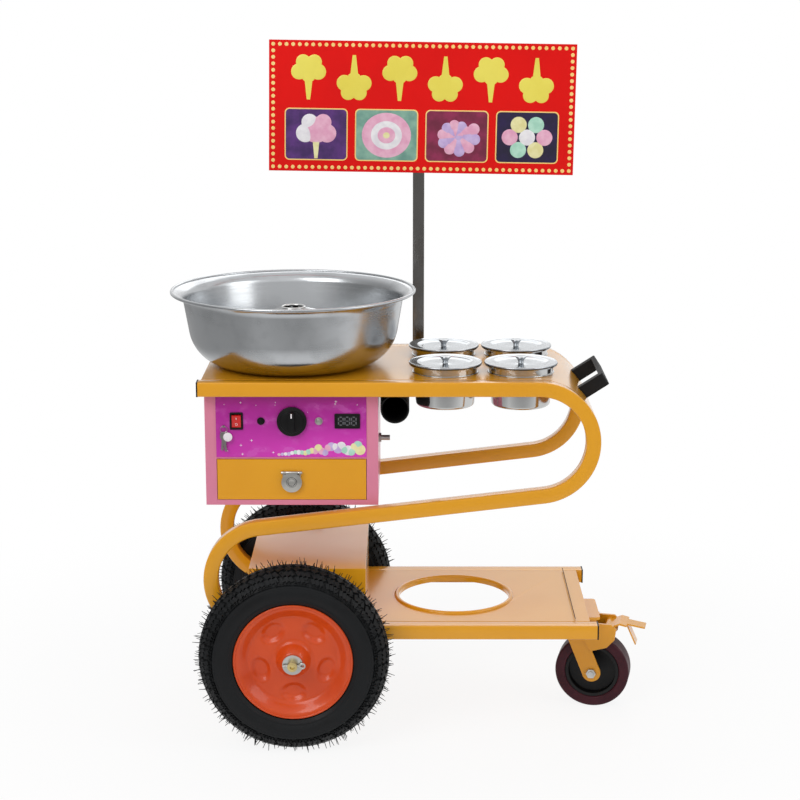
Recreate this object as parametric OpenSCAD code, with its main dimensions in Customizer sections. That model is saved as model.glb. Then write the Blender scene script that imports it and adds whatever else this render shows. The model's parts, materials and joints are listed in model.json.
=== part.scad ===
// Cotton candy cart: a bent tube frame on two pneumatic wheels and one swivel castor.
// It carries a spinning bowl over a control box with a drawer, four lidded canisters,
// a seat for a gas cylinder, a battery hood and a sign board on a pole.
// Millimetres. X runs along the cart, Y from the front to the back, Z up.

/* [Frame] */
// Side of the square frame tube
tube = 30; // [28:0.5:32]
// Wall of the frame tube
tube_wall = 1.5; // [1:0.1:2.5]
// Width over both side rails
frame_w = 406; // [396:1:450]
// Height of the table top
deck_z = 759; // [740:1:800]
// Height of the top of the lower rails
tray_z = 243; // [240:1:256]
// Centreline radius of the rail bends
bend_r = 112; // [100:1:118]
// Centre of the right bend, from the left rail ends
right_bend_x = 693; // [680:1:740]
// Centre of the left bend, from the left rail ends
left_bend_x = 133; // [120:1:150]
// Right end of the lower rails, from the left rail ends
lower_end_x = 824; // [818:1:860]
// Thickness of the end plug heads
plug_t = 3; // [2:0.5:5]
// Depth of the end plugs inside the tube
plug_depth = 18; // [10:1:30]

/* [Table] */
// Thickness of the table sheets
sheet_t = 2; // [1.5:0.1:3]
// Left edge of the table, from the left rail ends
top_x0 = 8; // [4:1:12]
// Seam between the two table sheets
seam_x = 366; // [360:1:380]
// Angle on the right bend where the table sheet ends
wrap_end = 12; // [5:1:20]

/* [Bowl] */
// Centre of the bowl, from the left rail ends
bowl_x = 187; // [180:1:192]
// Diameter over the rolled rim
bowl_rim_d = 514; // [490:1:518]
// Diameter of the flat base
bowl_base_d = 270; // [240:1:290]
// Radius of the curve from base to wall
bowl_corner_r = 85; // [70:1:90]
// Height of the wall where the rim flares out
bowl_wall_h = 131; // [120:1:140]
// Lean of the wall from upright
bowl_lean = 10; // [6:0.5:12]
// Wall of the bowl
bowl_t = 1.5; // [1:0.1:2]
// Hole in the base for the spinner
bowl_hole_d = 200; // [180:1:216]
// Height of the turned up collar of that hole
bowl_collar_h = 10; // [6:1:20]
// Radius of the rolled rim
bowl_roll_r = 3.5; // [2.5:0.25:5]

/* [Spinner] */
// Diameter of the spinner head
spinner_d = 150; // [120:1:156]
// Height of the head's mouth over the table
spinner_rise = 121; // [115:1:130]
// Height of the slotted band
band_h = 16; // [12:1:20]
// Height of the cone over the band
cone_h = 20; // [14:1:24]
// Diameter of the mouth
mouth_d = 42; // [36:1:60]
// Number of slots in the band
slot_count = 30; // [20:2:40]
// Diameter of the spindle
shaft_d = 16; // [12:1:20]
// Diameter of the burner ring
burner_d = 96; // [84:1:104]

/* [Canisters] */
// Gap between the lids of the front and the back row
lid_mid_gap = 31; // [20:1:50]
// Gap between a lid and the inside of the rail beside it
lid_side_gap = 6.5; // [4:0.5:14]
// Gap between two lids along the cart
lid_gap = 5; // [3:0.5:12]
// Reach of a lid past the neck under it
lid_over = 9; // [7:0.5:12]
// Middle of the right pair, left of the start of the bend
canister_back = 32; // [26:1:60]
// How much narrower the bottom is than the neck, at each side
canister_taper = 5.5; // [2:0.5:10]
// Depth under the table
canister_depth = 70; // [50:1:90]
// Height of the neck over the table
canister_neck = 19; // [14:1:24]
// Wall of the canisters
canister_t = 1.2; // [0.8:0.1:2]

/* [Control box] */
// Left side of the box, from the left rail ends
box_x0 = 13; // [12:1:20]
// Height of the box under the table sheet
box_h = 262; // [258:1:264]
// Sheet of the box
box_t = 1.5; // [1:0.1:2]
// Width of the upright border beside the panel and the drawer
stile = 23; // [18:1:26]
// Height of the panel
panel_h = 130; // [124:1:132]
// Thickness of the panel
panel_t = 1.5; // [1:0.1:2]
// Height of the row of controls over the panel's lower edge
control_rise = 76; // [68:1:82]
// Diameter of the gas knob
knob_d = 61; // [50:1:64]
// Diameter of the round buttons' collars
collar_d = 15.6; // [14:0.2:18]
// Travel of the round buttons
button_travel = 3; // [2:0.5:3]
// Outer diameter of the gas inlet
inlet_d = 11; // [9:0.5:13]
// Length of the gas inlet outside the box
inlet_len = 23; // [18:1:30]

/* [Drawer] */
// Height of the drawer front
drawer_h = 87; // [80:1:88]
// Length of the drawer tray
drawer_len = 300; // [260:1:310]
// Gap round the drawer front
drawer_gap = 1; // [0.6:0.1:1.5]
// Width of the latch
latch_w = 43; // [36:1:50]

/* [Lower deck] */
// Left edge of the tray, from the left rail ends
tray_x0 = 105; // [100:1:118]
// Centre of the gas cylinder seat
seat_x = 528; // [500:1:560]
// Diameter of the gas cylinder seat
seat_d = 238; // [200:1:250]
// Width of the rolled edge round the seat
seat_roll = 10; // [6:1:14]
// Depth of the collar under the seat
seat_collar = 8; // [6:1:24]
// Length of the battery hood
hood_l = 231; // [200:1:250]
// Height of the battery hood
hood_h = 113; // [110:1:130]

/* [Sign] */
// Width of the sign board
sign_w = 660; // [560:5:700]
// Height of the sign board
sign_h = 280; // [220:5:320]
// Thickness of the sign board
sign_t = 5; // [3:0.5:8]
// Lower edge of the sign over the table
sign_rise = 378; // [370:1:450]
// Centre of the sign, from the left rail ends
sign_x = 458; // [440:1:470]
// Lean of the sign on its pole, right end down
sign_lean = 0.9; // [0:0.1:2]
// Side of the square pole
pole = 25; // [22:0.5:28]
// Centre of the pole, from the left rail ends
pole_x = 451; // [445:1:470]

/* [Wheels] */
// Outer diameter of the tyres
tyre_d = 392; // [384:1:400]
// Width of the tyres
tyre_w = 95; // [90:1:110]
// Gap between tyre and rail
wheel_gap = 4; // [3:1:12]
// Axle position, from the left rail ends
wheel_x = 194; // [180:1:200]
// Diameter over the rim flanges
rim_d = 245; // [240:1:250]
// Number of lugs on each side of the tread
lug_count = 20; // [16:1:24]
// Diameter of the axle
axle_d = 20; // [16:1:22]

/* [Castor] */
// Diameter of the castor wheel
castor_d = 160; // [140:1:166]
// Width of the castor wheel
castor_w = 50; // [40:1:54]
// Swivel axis, from the left rail ends
castor_x = 786; // [780:1:800]
// Trail of the wheel behind the swivel axis
castor_trail = 48; // [40:1:56]
// Turn of the castor at rest, toward the front
castor_yaw = 12; // [0:1:45]

/* [Hidden] */

$fn = 72;
eps = 0.5;

yellow = [0.87, 0.58, 0.13];
pink = [0.82, 0.49, 0.60];
magenta = [0.76, 0.25, 0.66];
steel = [0.78, 0.78, 0.80];
zinc = [0.66, 0.66, 0.64];
brass = [0.78, 0.62, 0.28];
black = [0.07, 0.07, 0.08];
rubber = [0.13, 0.14, 0.15];
rim_red = [0.83, 0.29, 0.12];
maroon = [0.28, 0.09, 0.14];
sign_red = [0.85, 0.10, 0.09];
switch_red = [0.80, 0.08, 0.07];

// Running fit on a shaft, loose fit of a part that lifts out, gap beside a sliding part
run_gap = 0.05;
lift_gap = 0.6;
side_gap = 0.5;
// Gap inside a seat that is pushed or screwed home
seat_gap = 0.02;

// Frame
inner_y = frame_w / 2 - tube;
rail_bottom = tray_z - tube;
right_bend = [right_bend_x, deck_z - tube / 2 - bend_r];
left_bend = [left_bend_x, tray_z - tube / 2 + bend_r];
bend_span = right_bend - left_bend;
slope = atan2(bend_span.y, bend_span.x) - asin(2 * bend_r / norm(bend_span));
mid_start = right_bend + polar(bend_r, slope - 90);
mid_end = left_bend + polar(bend_r, slope + 90);
end_tube_x = castor_x - 8;
weld_lap = 1;
weld_step = 0.05;

// Table
wrap_r = bend_r + tube / 2;
handle_angle = 40;
handle_tip = 7;
handle_len = 184;
handle_rise = 56;
handle_w = 28;
handle_bar = 9;
handle_leg = 18;
handle_round = 5;

// Canisters
lid_d = inner_y - lid_mid_gap / 2 - lid_side_gap;
canister_d = lid_d - 2 * lid_over;
canister_base_d = canister_d - 2 * canister_taper;
canister_dx = lid_d + lid_gap;
canister_dy = lid_d + lid_mid_gap;
canister_x = right_bend_x - canister_back - canister_dx;

// Places of the controls along the panel
rocker_share = 0.1368;
push_share = 0.2997;
knob_share = 0.5049;
metal_share = 0.6840;
meter_share = 0.8730;

// Box
box_x1 = seam_x + 1;
box_top = deck_z - sheet_t;
box_z0 = box_top - box_h;
panel_x0 = box_x0 + stile;
panel_x1 = box_x1 - stile - 1;
drawer_z0 = box_z0 + 11;
drawer_z1 = drawer_z0 + drawer_h;
panel_z0 = drawer_z1 + 4;
control_z = panel_z0 + control_rise;
front_y = -inner_y;
panel_y = front_y - panel_t;
shelf_z = drawer_z1 + 1;
panel_w = panel_x1 - panel_x0;
rocker_x = panel_x0 + panel_w * rocker_share;
push_x = panel_x0 + panel_w * push_share;
knob_x = panel_x0 + panel_w * knob_share;
metal_x = panel_x0 + panel_w * metal_share;
meter_x = panel_x0 + panel_w * meter_share;
rocker_size = [27, 36];
rocker_well = [22, 31];
meter_size = [52, 31];
meter_well = [48, 27];
bezel_t = 2.5;
well_depth = 18;
button_d = 10;
button_proud = 3;
button_len = 12;
neck_d = 18;
stem_d = 8;
inlet_y = -60;
inlet_z = shelf_z + 16;
pipe_d = 8;
elbow_swell = 1;

// Drawer
drawer_wall = 1.2;
drawer_inset = 6;
drawer_floor = drawer_z0 + 4;
drawer_side_h = drawer_h - 16;
runner_w = 22;
latch_x = (panel_x0 + panel_x1) / 2;
latch_z = drawer_z0 + 59;
latch_t = 1.5;
hinge_r = 1.5;
knuckle_r = 3;

// Gas
valve_half = [18, 16, 19];
valve_back = front_y + 15 + 2 * valve_half.z;
gas_lead = 20;
gas_rise = 40;
inlet_in = 12;

// Drive
belt_rise = 56;
belt_z = shelf_z + belt_rise;
belt_span = 122;
belt_w = 10;
belt_t = 3;
pulley_r = 30;
groove_r = 26;
pulley_w = 20;
motor_x = bowl_x + belt_span;
motor_r = 36;
motor_h = 74;
motor_shaft_d = 10;
bracket_t = 3;
bracket_w = 88;
housing_r = 18;
housing_flange_r = 34;
housing_len = 66;

// Stick tube
stick_d = 59;
stick_t = 3;
stick_len = 2 * inner_y - 16;
stick_x = box_x1 + 34;
stick_drop = 62;

// Lower deck
seat_r = seat_d / 2;
hood_x0 = tray_x0 + 4;
hood_y = inner_y - 5;
hood_t = 1.5;
battery_size = [180, 170, 88];

// Sign
socket_t = 2;
socket_len = 90;
pole_gap = 0.3;
socket_side = pole + 2 * pole_gap + 2 * socket_t;
pole_y = frame_w / 2 + socket_side / 2;
sign_z = deck_z + sign_rise + sign_h / 2;

// Wheels
tyre_r = tyre_d / 2;
wheel_y = frame_w / 2 + wheel_gap + tyre_w / 2;
rim_r = rim_d / 2;
bead_r = rim_r - 18.5;
rim_t = 2.5;
rim_half = 34;
disc_w = 15;
hub_half = tyre_w / 2 + 2;
hub_r = 17;
dent_r = 36;
dent_depth = 6;
dent_at = (hub_r + 20 + bead_r) / 2;
valve_at = 17;
valve_r = 4;
valve_in = 11;
valve_out = 8;
washer_d = 42;
washer_t = 3;
axle_half = wheel_y + hub_half + washer_t + 13;
axle_bore = 5;
split_d = 4;
split_y = wheel_y + hub_half + washer_t + 5;

// Castor
plate_top = rail_bottom;
plate_size = [110, 126];
plate_t = 6;
plate_bottom = plate_top - plate_t;
castor_r = castor_d / 2;
king_r = 10;
king_head_r = 16;
king_head_h = 8;
crown_r = 38;
crown_t = 6;
race_t = 10;
race_gap = 0.3;
crown_top = plate_bottom - race_gap - race_t;
crown_z = crown_top - crown_t;
fork_in = castor_w / 2 + 5;
fork_t = 5;
fork_foot_r = 20;
fork_lean = 22.5;
castor_axle_d = 12;
ear_x = castor_trail + 32;
ear_z = crown_z - 12;
ear_pin_r = 4;
barrel_r = 9;
pedal_t = 4;
pedal_tip = ear_x + 78.4;
claw_tip = ear_x + 60;
pedal_half = fork_in - side_gap;
tongue_half = 16;
tongue_t = pedal_t - 0.5;
cheek_t = 2;

// Origin at the middle of the length, on the ground
x_min = min(bowl_x - bowl_rim_d / 2, 0, wheel_x - tyre_r);
pedal_end = pedal_tip + tongue_t / 2 - weld_step;
x_max = max(castor_x + pedal_end * cos(castor_yaw) + tongue_half * sin(castor_yaw), lower_end_x);
origin_x = (x_min + x_max) / 2;
spinner_z0 = deck_z + spinner_rise - cone_h - band_h;
burner_drop = 30;
burner_z = spinner_z0 - burner_drop;
burner_r = 8;
motor_clear = 12;
motor_top = box_top - motor_clear;
band_t = 3;
latch_y = front_y - 1;
rocker_tilt = 10;
tread_t = 22;

function polar(r, a) = [r * cos(a), r * sin(a)];

// A piece in its colour, moved to the cart's origin
module piece(c) {
    color(c)
        translate([-origin_x, 0, 0])
            children();
}

// Flat ring sector of mid radius r and width w between two angles
module ring_sector(r, w, a0, a1) {
    reach = 2 * (r + w);
    intersection() {
        difference() {
            circle(r + w / 2);
            circle(r - w / 2);
        }
        polygon(concat([[0, 0]], [for (i = [0:4]) polar(reach, a0 + (a1 - a0) * i / 4)]));
    }
}

// Rectangle about the origin with round corners
module round_rect(size, r) {
    square([size.x - 2 * r, size.y], center = true);
    square([size.x, size.y - 2 * r], center = true);
    for (x = [-1, 1], y = [-1, 1])
        translate([x * (size.x / 2 - r), y * (size.y / 2 - r)])
            circle(r);
}

// Flat bar with round ends between two points
module bar2d(p, q, w) {
    d = q - p;
    translate(p)
        rotate(atan2(d.y, d.x))
            translate([0, -w / 2])
                square([norm(d), w]);
    for (e = [p, q])
        translate(e)
            circle(w / 2);
}

// Flat strip whose end discs stay just inside its edges, so that bends have no tangent faces
module strip2d(p, q, w) {
    d = q - p;
    translate(p)
        rotate(atan2(d.y, d.x))
            translate([0, -w / 2])
                square([norm(d), w]);
    for (e = [p, q])
        translate(e)
            circle(w / 2 - weld_step);
}

// Stands a flat outline up in the XZ plane, from y0 back to y1
module upright(y0, y1) {
    translate([0, y1, 0])
        rotate([90, 0, 0])
            linear_extrude(y1 - y0)
                children();
}

// Round rod along Y
module rod_y(x, z, y0, y1, r) {
    translate([x, y0, z])
        rotate([-90, 0, 0])
            cylinder(h = y1 - y0, r = r);
}

// Box between two corners
module block(a, b) {
    translate(a)
        cube(b - a);
}

// Square tube along Y between the rails
module cross_tube(x, z0, h) {
    difference() {
        block([x, -inner_y, z0], [x + tube, inner_y, z0 + h]);
        block([x + tube_wall, -inner_y - eps, z0 + tube_wall],
            [x + tube - tube_wall, inner_y + eps, z0 + h - tube_wall]);
    }
}

// Pipe of straight runs with round elbows
module pipe_run(points, r) {
    for (i = [0:len(points) - 2]) {
        d = points[i + 1] - points[i];
        translate(points[i])
            rotate([0, acos(d.z / norm(d)), atan2(d.y, d.x)])
                cylinder(h = norm(d), r = r);
    }
    for (i = [1:1:len(points) - 2])
        translate(points[i])
            sphere(r + elbow_swell);
}

// Side outline of a rail, with straight ends that run on by the overrun
module rail_outline(w, overrun) {
    top_mid = deck_z - tube / 2;
    low_mid = tray_z - tube / 2;
    translate([plug_t - overrun, top_mid - w / 2])
        square([right_bend_x - plug_t + overrun, w]);
    translate(right_bend)
        ring_sector(bend_r, w, slope - 90, 90);
    translate(mid_end)
        rotate(slope)
            translate([-weld_lap, weld_step - w / 2])
                square([norm(mid_start - mid_end) + 2 * weld_lap, w - 2 * weld_step]);
    translate(left_bend)
        ring_sector(bend_r, w, slope + 90, 270);
    translate([left_bend_x, low_mid - w / 2])
        square([lower_end_x - plug_t + overrun - left_bend_x, w]);
}

// Bent rail with its front face at y0
module rail(y0) {
    difference() {
        upright(y0, y0 + tube)
            rail_outline(tube, 0);
        upright(y0 + tube_wall, y0 + tube - tube_wall)
            rail_outline(tube - 2 * tube_wall, eps);
    }
}

module near_rail() {
    piece(yellow)
        rail(-frame_w / 2);
}

module far_rail() {
    piece(yellow)
        rail(inner_y);
}

// End plug with its head toward +X, the tube starting at x = 0
module end_plug() {
    inside = tube - 2 * tube_wall - 2 * seat_gap;
    translate([0, -tube / 2, -tube / 2])
        cube([plug_t, tube, tube]);
    translate([-plug_depth, -inside / 2, -inside / 2])
        cube([plug_depth, inside, inside]);
}

module rail_plugs() {
    piece(black)
        for (side = [-1, 1]) {
            y = side * (frame_w / 2 - tube / 2);
            translate([plug_t, y, deck_z - tube / 2])
                mirror([1, 0, 0])
                    end_plug();
            translate([lower_end_x - plug_t, y, tray_z - tube / 2])
                end_plug();
        }
}

// Open cross tube at the right end, and one under the tray for the castor
module cross_tubes() {
    piece(yellow) {
        cross_tube(end_tube_x, rail_bottom, tube);
        cross_tube(end_tube_x - tube - 17, rail_bottom, tube - sheet_t);
    }
}

module machine_top() {
    pass_d = shaft_d + 8;
    piece(yellow)
        difference() {
            block([top_x0, -inner_y, deck_z - sheet_t], [seam_x, inner_y, deck_z]);
            translate([bowl_x, 0, deck_z - sheet_t - eps])
                cylinder(h = sheet_t + 2 * eps, d = pass_d);
            translate([bowl_x, -burner_d / 2, deck_z - sheet_t - eps])
                cylinder(h = sheet_t + 2 * eps, d = pipe_d + 2 * lift_gap);
        }
}

// Places a child at each canister hole
module each_canister() {
    for (i = [0, 1], j = [-1, 1])
        translate([canister_x + i * canister_dx, j * canister_dy / 2, 0])
            children();
}

module canister_top() {
    piece(yellow)
        difference() {
            upright(-inner_y, inner_y) {
                translate([seam_x, deck_z - sheet_t])
                    square([right_bend_x - seam_x, sheet_t]);
                translate(right_bend)
                    ring_sector(wrap_r - sheet_t / 2, sheet_t, wrap_end, 90);
            }
            translate([0, 0, deck_z - canister_depth])
                each_canister()
                    cylinder(h = canister_depth + eps, d = canister_d + 2 * lift_gap);
        }
}

// Outline of a bridge handle that stands on two legs
module bridge2d(size) {
    reach = size.y - handle_bar;
    difference() {
        translate([0, size.y / 2])
            round_rect(size, handle_round);
        translate([-handle_len / 2, -eps])
            square([handle_len, handle_round / 2]);
        translate([0, reach / 2 - eps])
            square([handle_len - 2 * handle_leg, reach + 2 * eps], center = true);
    }
}

// Bridge handle on the wrapped end of the table
module push_handle() {
    sink = 6;
    piece(black)
        difference() {
            translate([right_bend.x, 0, right_bend.y])
                rotate([0, 90 - handle_angle, 0])
                    translate([0, 0, wrap_r])
                        rotate([0, handle_tip, 0])
                            translate([-handle_w / 2, 0, -sink])
                                rotate([90, 0, 90])
                                    linear_extrude(handle_w)
                                        bridge2d([handle_len, handle_rise + sink]);
            rod_y(right_bend.x, right_bend.y, -inner_y, inner_y, wrap_r);
        }
}

module lower_tray() {
    piece(yellow) {
        difference() {
            block([tray_x0, -inner_y, tray_z - sheet_t], [end_tube_x, inner_y, tray_z]);
            translate([seat_x, 0, tray_z - sheet_t - eps])
                cylinder(h = sheet_t + 2 * eps, r = seat_r);
        }
        translate([seat_x, 0, tray_z])
            rotate_extrude() {
                translate([seat_r, -seat_collar])
                    square([sheet_t, seat_collar]);
                intersection() {
                    translate([seat_r + seat_roll / 2, 0])
                        circle(seat_roll / 2);
                    translate([seat_r, 0])
                        square(seat_roll);
                }
            }
    }
}

// Closed hood, open at the bottom, with a lip bent down over its left end
module battery_hood() {
    lip = 12;
    lip_drop = 16;
    top = tray_z + hood_h;
    piece(yellow) {
        difference() {
            block([hood_x0, -hood_y, tray_z], [hood_x0 + hood_l, hood_y, top]);
            block([hood_x0 + hood_t, -hood_y + hood_t, tray_z - eps],
                [hood_x0 + hood_l - hood_t, hood_y - hood_t, top - hood_t]);
        }
        block([hood_x0 - lip, -hood_y, top - hood_t], [hood_x0, hood_y, top]);
        block([hood_x0 - lip, -hood_y, top - lip_drop], [hood_x0 - lip + hood_t, hood_y, top]);
    }
}

module battery() {
    post_d = 14;
    post_h = 14;
    post_in = 26;
    middle = hood_x0 + hood_l / 2;
    piece(black) {
        translate([middle - battery_size.x / 2, -battery_size.y / 2, tray_z])
            cube(battery_size);
        for (side = [-1, 1])
            translate([middle + side * (battery_size.x / 2 - post_in), 0, tray_z + battery_size.z])
                cylinder(h = post_h, d = post_d);
    }
}

// Folded housing with a drawer bay under a shelf and a window behind the panel
module control_box() {
    window = 8;
    piece(pink)
        difference() {
            block([box_x0, -inner_y, box_z0], [box_x1, inner_y, box_top]);
            block([box_x0 + box_t, -inner_y + box_t, shelf_z + box_t],
                [box_x1 - box_t, inner_y - box_t, box_top + eps]);
            block([box_x0 + box_t, -inner_y + box_t, box_z0 + box_t],
                [box_x1 - box_t, inner_y - box_t, shelf_z]);
            block([panel_x0, front_y - eps, drawer_z0], [panel_x1, front_y + 2 * box_t, drawer_z1]);
            block([panel_x0 + window, front_y - eps, panel_z0 + window],
                [panel_x1 - window, front_y + 2 * box_t, panel_z0 + panel_h - window]);
            translate([box_x1 - 2 * box_t, inlet_y, inlet_z])
                rotate([0, 90, 0])
                    cylinder(h = 3 * box_t, d = inlet_d + 2 * seat_gap);
        }
}

module control_panel() {
    hole_gap = 0.4;
    piece(magenta)
        upright(panel_y, front_y)
            difference() {
                translate([panel_x0, panel_z0])
                    square([panel_x1 - panel_x0, panel_h]);
                translate([rocker_x, control_z])
                    square(rocker_well + 2 * [hole_gap, hole_gap], center = true);
                translate([meter_x, control_z])
                    square(meter_well + 2 * [hole_gap, hole_gap], center = true);
                for (x = [push_x, metal_x])
                    translate([x, control_z])
                        circle(d = collar_d - 2);
                translate([knob_x, control_z])
                    circle(d = neck_d + 2 * hole_gap);
            }
}

// Collar of a round button, closed at the back
module button_collar(x) {
    bore = button_d + 2 * lift_gap / 4;
    back = panel_y + well_depth;
    difference() {
        union() {
            rod_y(x, control_z, panel_y - button_proud, panel_y, collar_d / 2);
            rod_y(x, control_z, panel_y, back, collar_d / 2 - 1.2);
        }
        rod_y(x, control_z, panel_y - button_proud - eps, back - 2, bore / 2);
    }
}

// Bezel of the rocker and collar of the dark button
module panel_bezels() {
    well_wall = 1.2;
    piece(black) {
        difference() {
            union() {
                translate([rocker_x, 0, control_z])
                    upright(panel_y - bezel_t, panel_y)
                        round_rect(rocker_size, 2);
                translate([rocker_x, 0, control_z])
                    upright(panel_y, panel_y + well_depth)
                        square(rocker_well, center = true);
            }
            translate([rocker_x, 0, control_z])
                upright(panel_y - bezel_t - eps, panel_y + well_depth - 2)
                    square(rocker_well - 2 * [well_wall, well_wall], center = true);
        }
        button_collar(push_x);
    }
}

module metal_collar() {
    piece(steel)
        button_collar(metal_x);
}

// Meter with a sunk window
module meter() {
    window_depth = 1;
    window = [42, 21];
    piece(black)
        translate([meter_x, 0, control_z])
            difference() {
                union() {
                    upright(panel_y - bezel_t, panel_y)
                        round_rect(meter_size, 2);
                    upright(panel_y, panel_y + well_depth)
                        square(meter_well, center = true);
                }
                upright(panel_y - bezel_t - eps, panel_y - bezel_t + window_depth)
                    square(window, center = true);
            }
}

// Folded strips on the box floor that carry and guide the drawer
module drawer_runners() {
    lip_t = 1.5;
    lip_h = 14;
    y0 = front_y + box_t + 4;
    floor_z = box_z0 + box_t;
    outer = [panel_x0 + drawer_inset - side_gap, panel_x1 - drawer_inset + side_gap];
    piece(zinc)
        for (side = [0, 1]) {
            x = outer[side];
            x_in = side == 0 ? x + runner_w : x - runner_w;
            x_out = side == 0 ? x - lip_t : x + lip_t;
            block([min(x_out, x_in), y0, floor_z],
                [max(x_out, x_in), y0 + drawer_len, drawer_floor - side_gap / 2]);
            block([min(x, x_out), y0, floor_z],
                [max(x, x_out), y0 + drawer_len, drawer_floor + lip_h]);
        }
}

// Barbed inlet with a flange nut against the box wall
module gas_inlet() {
    nut_d = 20;
    nut_t = 5;
    bore = 6;
    inside = 12;
    piece(brass)
        translate([box_x1, inlet_y, inlet_z])
            rotate([0, 90, 0])
                difference() {
                    union() {
                        translate([0, 0, -inside])
                            cylinder(h = inside + inlet_len, d = inlet_d);
                        cylinder(h = nut_t, d = nut_d, $fn = 6);
                    }
                    translate([0, 0, -inside - eps])
                        cylinder(h = inside + inlet_len + 2 * eps, d = bore);
                }
}

// Valve block behind the knob, with a neck through the panel
module valve_body() {
    shoulder_d = 30;
    block_front = valve_back - 2 * valve_half.z;
    block_back = valve_back;
    neck_front = panel_y - 1.5;
    difference() {
        union() {
            translate([knob_x, 0, control_z])
                upright(block_front, block_back)
                    square([2 * valve_half.x, 2 * valve_half.y], center = true);
            rod_y(knob_x, control_z, front_y, block_front, shoulder_d / 2);
            rod_y(knob_x, control_z, neck_front, front_y, neck_d / 2);
        }
        rod_y(knob_x, control_z, neck_front - eps, block_back - 14, stem_d / 2 + run_gap);
    }
}

// Gas line from the inlet to the valve, and from the valve up to the burner
module gas_runs() {
    r = pipe_d / 2;
    valve_side = knob_x + valve_half.x;
    valve_mid = valve_back - valve_half.z;
    inlet_end = box_x1 - inlet_in;
    turn_x = valve_side + gas_lead;
    burner_y = -burner_d / 2;
    pipe_run([[inlet_end, inlet_y, inlet_z], [turn_x, inlet_y, inlet_z], [turn_x, valve_mid, inlet_z],
        [turn_x, valve_mid, control_z], [valve_side, valve_mid, control_z]], r);
    pipe_run([[knob_x, valve_back, control_z], [knob_x, valve_back + gas_lead, control_z],
        [bowl_x, burner_y, control_z + gas_rise], [bowl_x, burner_y, burner_z - burner_r]], r);
}

module gas_line() {
    piece(brass) {
        valve_body();
        gas_runs();
    }
}

// Ring burner on three feet round the spindle
module burner() {
    foot_d = 7;
    piece(zinc)
        translate([bowl_x, 0, 0]) {
            translate([0, 0, burner_z])
                rotate_extrude()
                    translate([burner_d / 2, 0])
                        circle(burner_r);
            for (a = [30, 150, 90])
                translate(concat(polar(burner_d / 2, a), deck_z))
                    cylinder(h = burner_z - deck_z, d = foot_d);
        }
}

// Flanged bearing housing of the spindle under the table
module spindle_housing() {
    flange_t = 8;
    piece(zinc)
        translate([bowl_x, 0, box_top])
            mirror([0, 0, 1])
                difference() {
                    union() {
                        cylinder(h = housing_len, r = housing_r);
                        cylinder(h = flange_t, r = housing_flange_r);
                    }
                    translate([0, 0, -eps])
                        cylinder(h = housing_len + 2 * eps, r = shaft_d / 2 + run_gap);
                }
}

module motor_body() {
    boss_r = 14;
    boss_h = 5;
    translate([motor_x, 0, motor_top])
        mirror([0, 0, 1])
            difference() {
                union() {
                    cylinder(h = motor_h, r = motor_r);
                    translate([0, 0, motor_h])
                        cylinder(h = boss_h, r = boss_r);
                }
                translate([0, 0, motor_h - 20])
                    cylinder(h = 20 + boss_h + eps, d = motor_shaft_d + 2 * run_gap);
            }
}

// Bridge that hangs the motor from the table sheet
module motor_bridge() {
    half = bracket_w / 2;
    translate([motor_x, 0, 0]) {
        block([-half, -half, motor_top], [half, half, motor_top + bracket_t]);
        for (side = [0, 1])
            mirror([side, 0, 0])
                block([half - bracket_t, -half, motor_top], [half, half, box_top]);
    }
}

module drive_motor() {
    piece(zinc) {
        motor_body();
        motor_bridge();
    }
}

// Belt loop round both pulleys
module drive_belt() {
    mid = groove_r + race_gap + belt_t / 2;
    span = belt_span;
    piece(black)
        translate([bowl_x, 0, belt_z - belt_w / 2])
            linear_extrude(belt_w) {
                ring_sector(mid, belt_t, 90, 180);
                ring_sector(mid, belt_t, 180, 270);
                translate([span, 0]) {
                    ring_sector(mid, belt_t, -90, 0);
                    ring_sector(mid, belt_t, 0, 90);
                }
                for (side = [-1, 1])
                    translate([0, side * mid - belt_t / 2])
                        square([span, belt_t]);
            }
}

// Open tube for the sticks, hung from the table by two straps
module stick_tube() {
    strap_w = 24;
    strap_in = 70;
    z = box_top - stick_drop;
    piece(black)
        difference() {
            union() {
                rod_y(stick_x, z, -stick_len / 2, stick_len / 2, stick_d / 2);
                for (side = [-1, 1])
                    translate([0, side * (stick_len / 2 - strap_in), 0])
                        block([stick_x - stick_d / 2, -strap_w / 2, z],
                            [stick_x - stick_d / 2 + stick_t, strap_w / 2, box_top]);
                block([stick_x - stick_d / 2, -stick_len / 2, z],
                    [stick_x - stick_d / 2 + stick_t, -stick_len / 2 + strap_w, box_top]);
            }
            rod_y(stick_x, z, -stick_len / 2 - eps, stick_len / 2 - stick_t, stick_d / 2 - stick_t);
        }
}

module axle() {
    piece(zinc)
        difference() {
            rod_y(wheel_x, tyre_r, -axle_half, axle_half, axle_d / 2);
            for (side = [-1, 1]) {
                rod_y(wheel_x, tyre_r, side * axle_half - axle_bore, side * axle_half + axle_bore, axle_bore);
                translate([wheel_x - axle_d, side * split_y, tyre_r])
                    rotate([0, 90, 0])
                        cylinder(h = 2 * axle_d, d = split_d + 2 * seat_gap);
            }
        }
}

// Saddle blocks between the axle and the lower rails
module axle_saddles() {
    half = 26;
    round_r = axle_d / 2 + 6;
    for (side = [-1, 1])
        translate([0, side * (frame_w / 2 - tube / 2), 0])
            upright(-tube / 2, tube / 2)
                difference() {
                    union() {
                        translate([wheel_x, tyre_r])
                            circle(round_r);
                        polygon([[wheel_x - round_r, tyre_r], [wheel_x + round_r, tyre_r],
                            [wheel_x + half, rail_bottom], [wheel_x - half, rail_bottom]]);
                    }
                    translate([wheel_x, tyre_r])
                        circle(axle_d / 2 + seat_gap);
                    translate([wheel_x - 2 * half, rail_bottom])
                        square(4 * half);
                }
}

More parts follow.
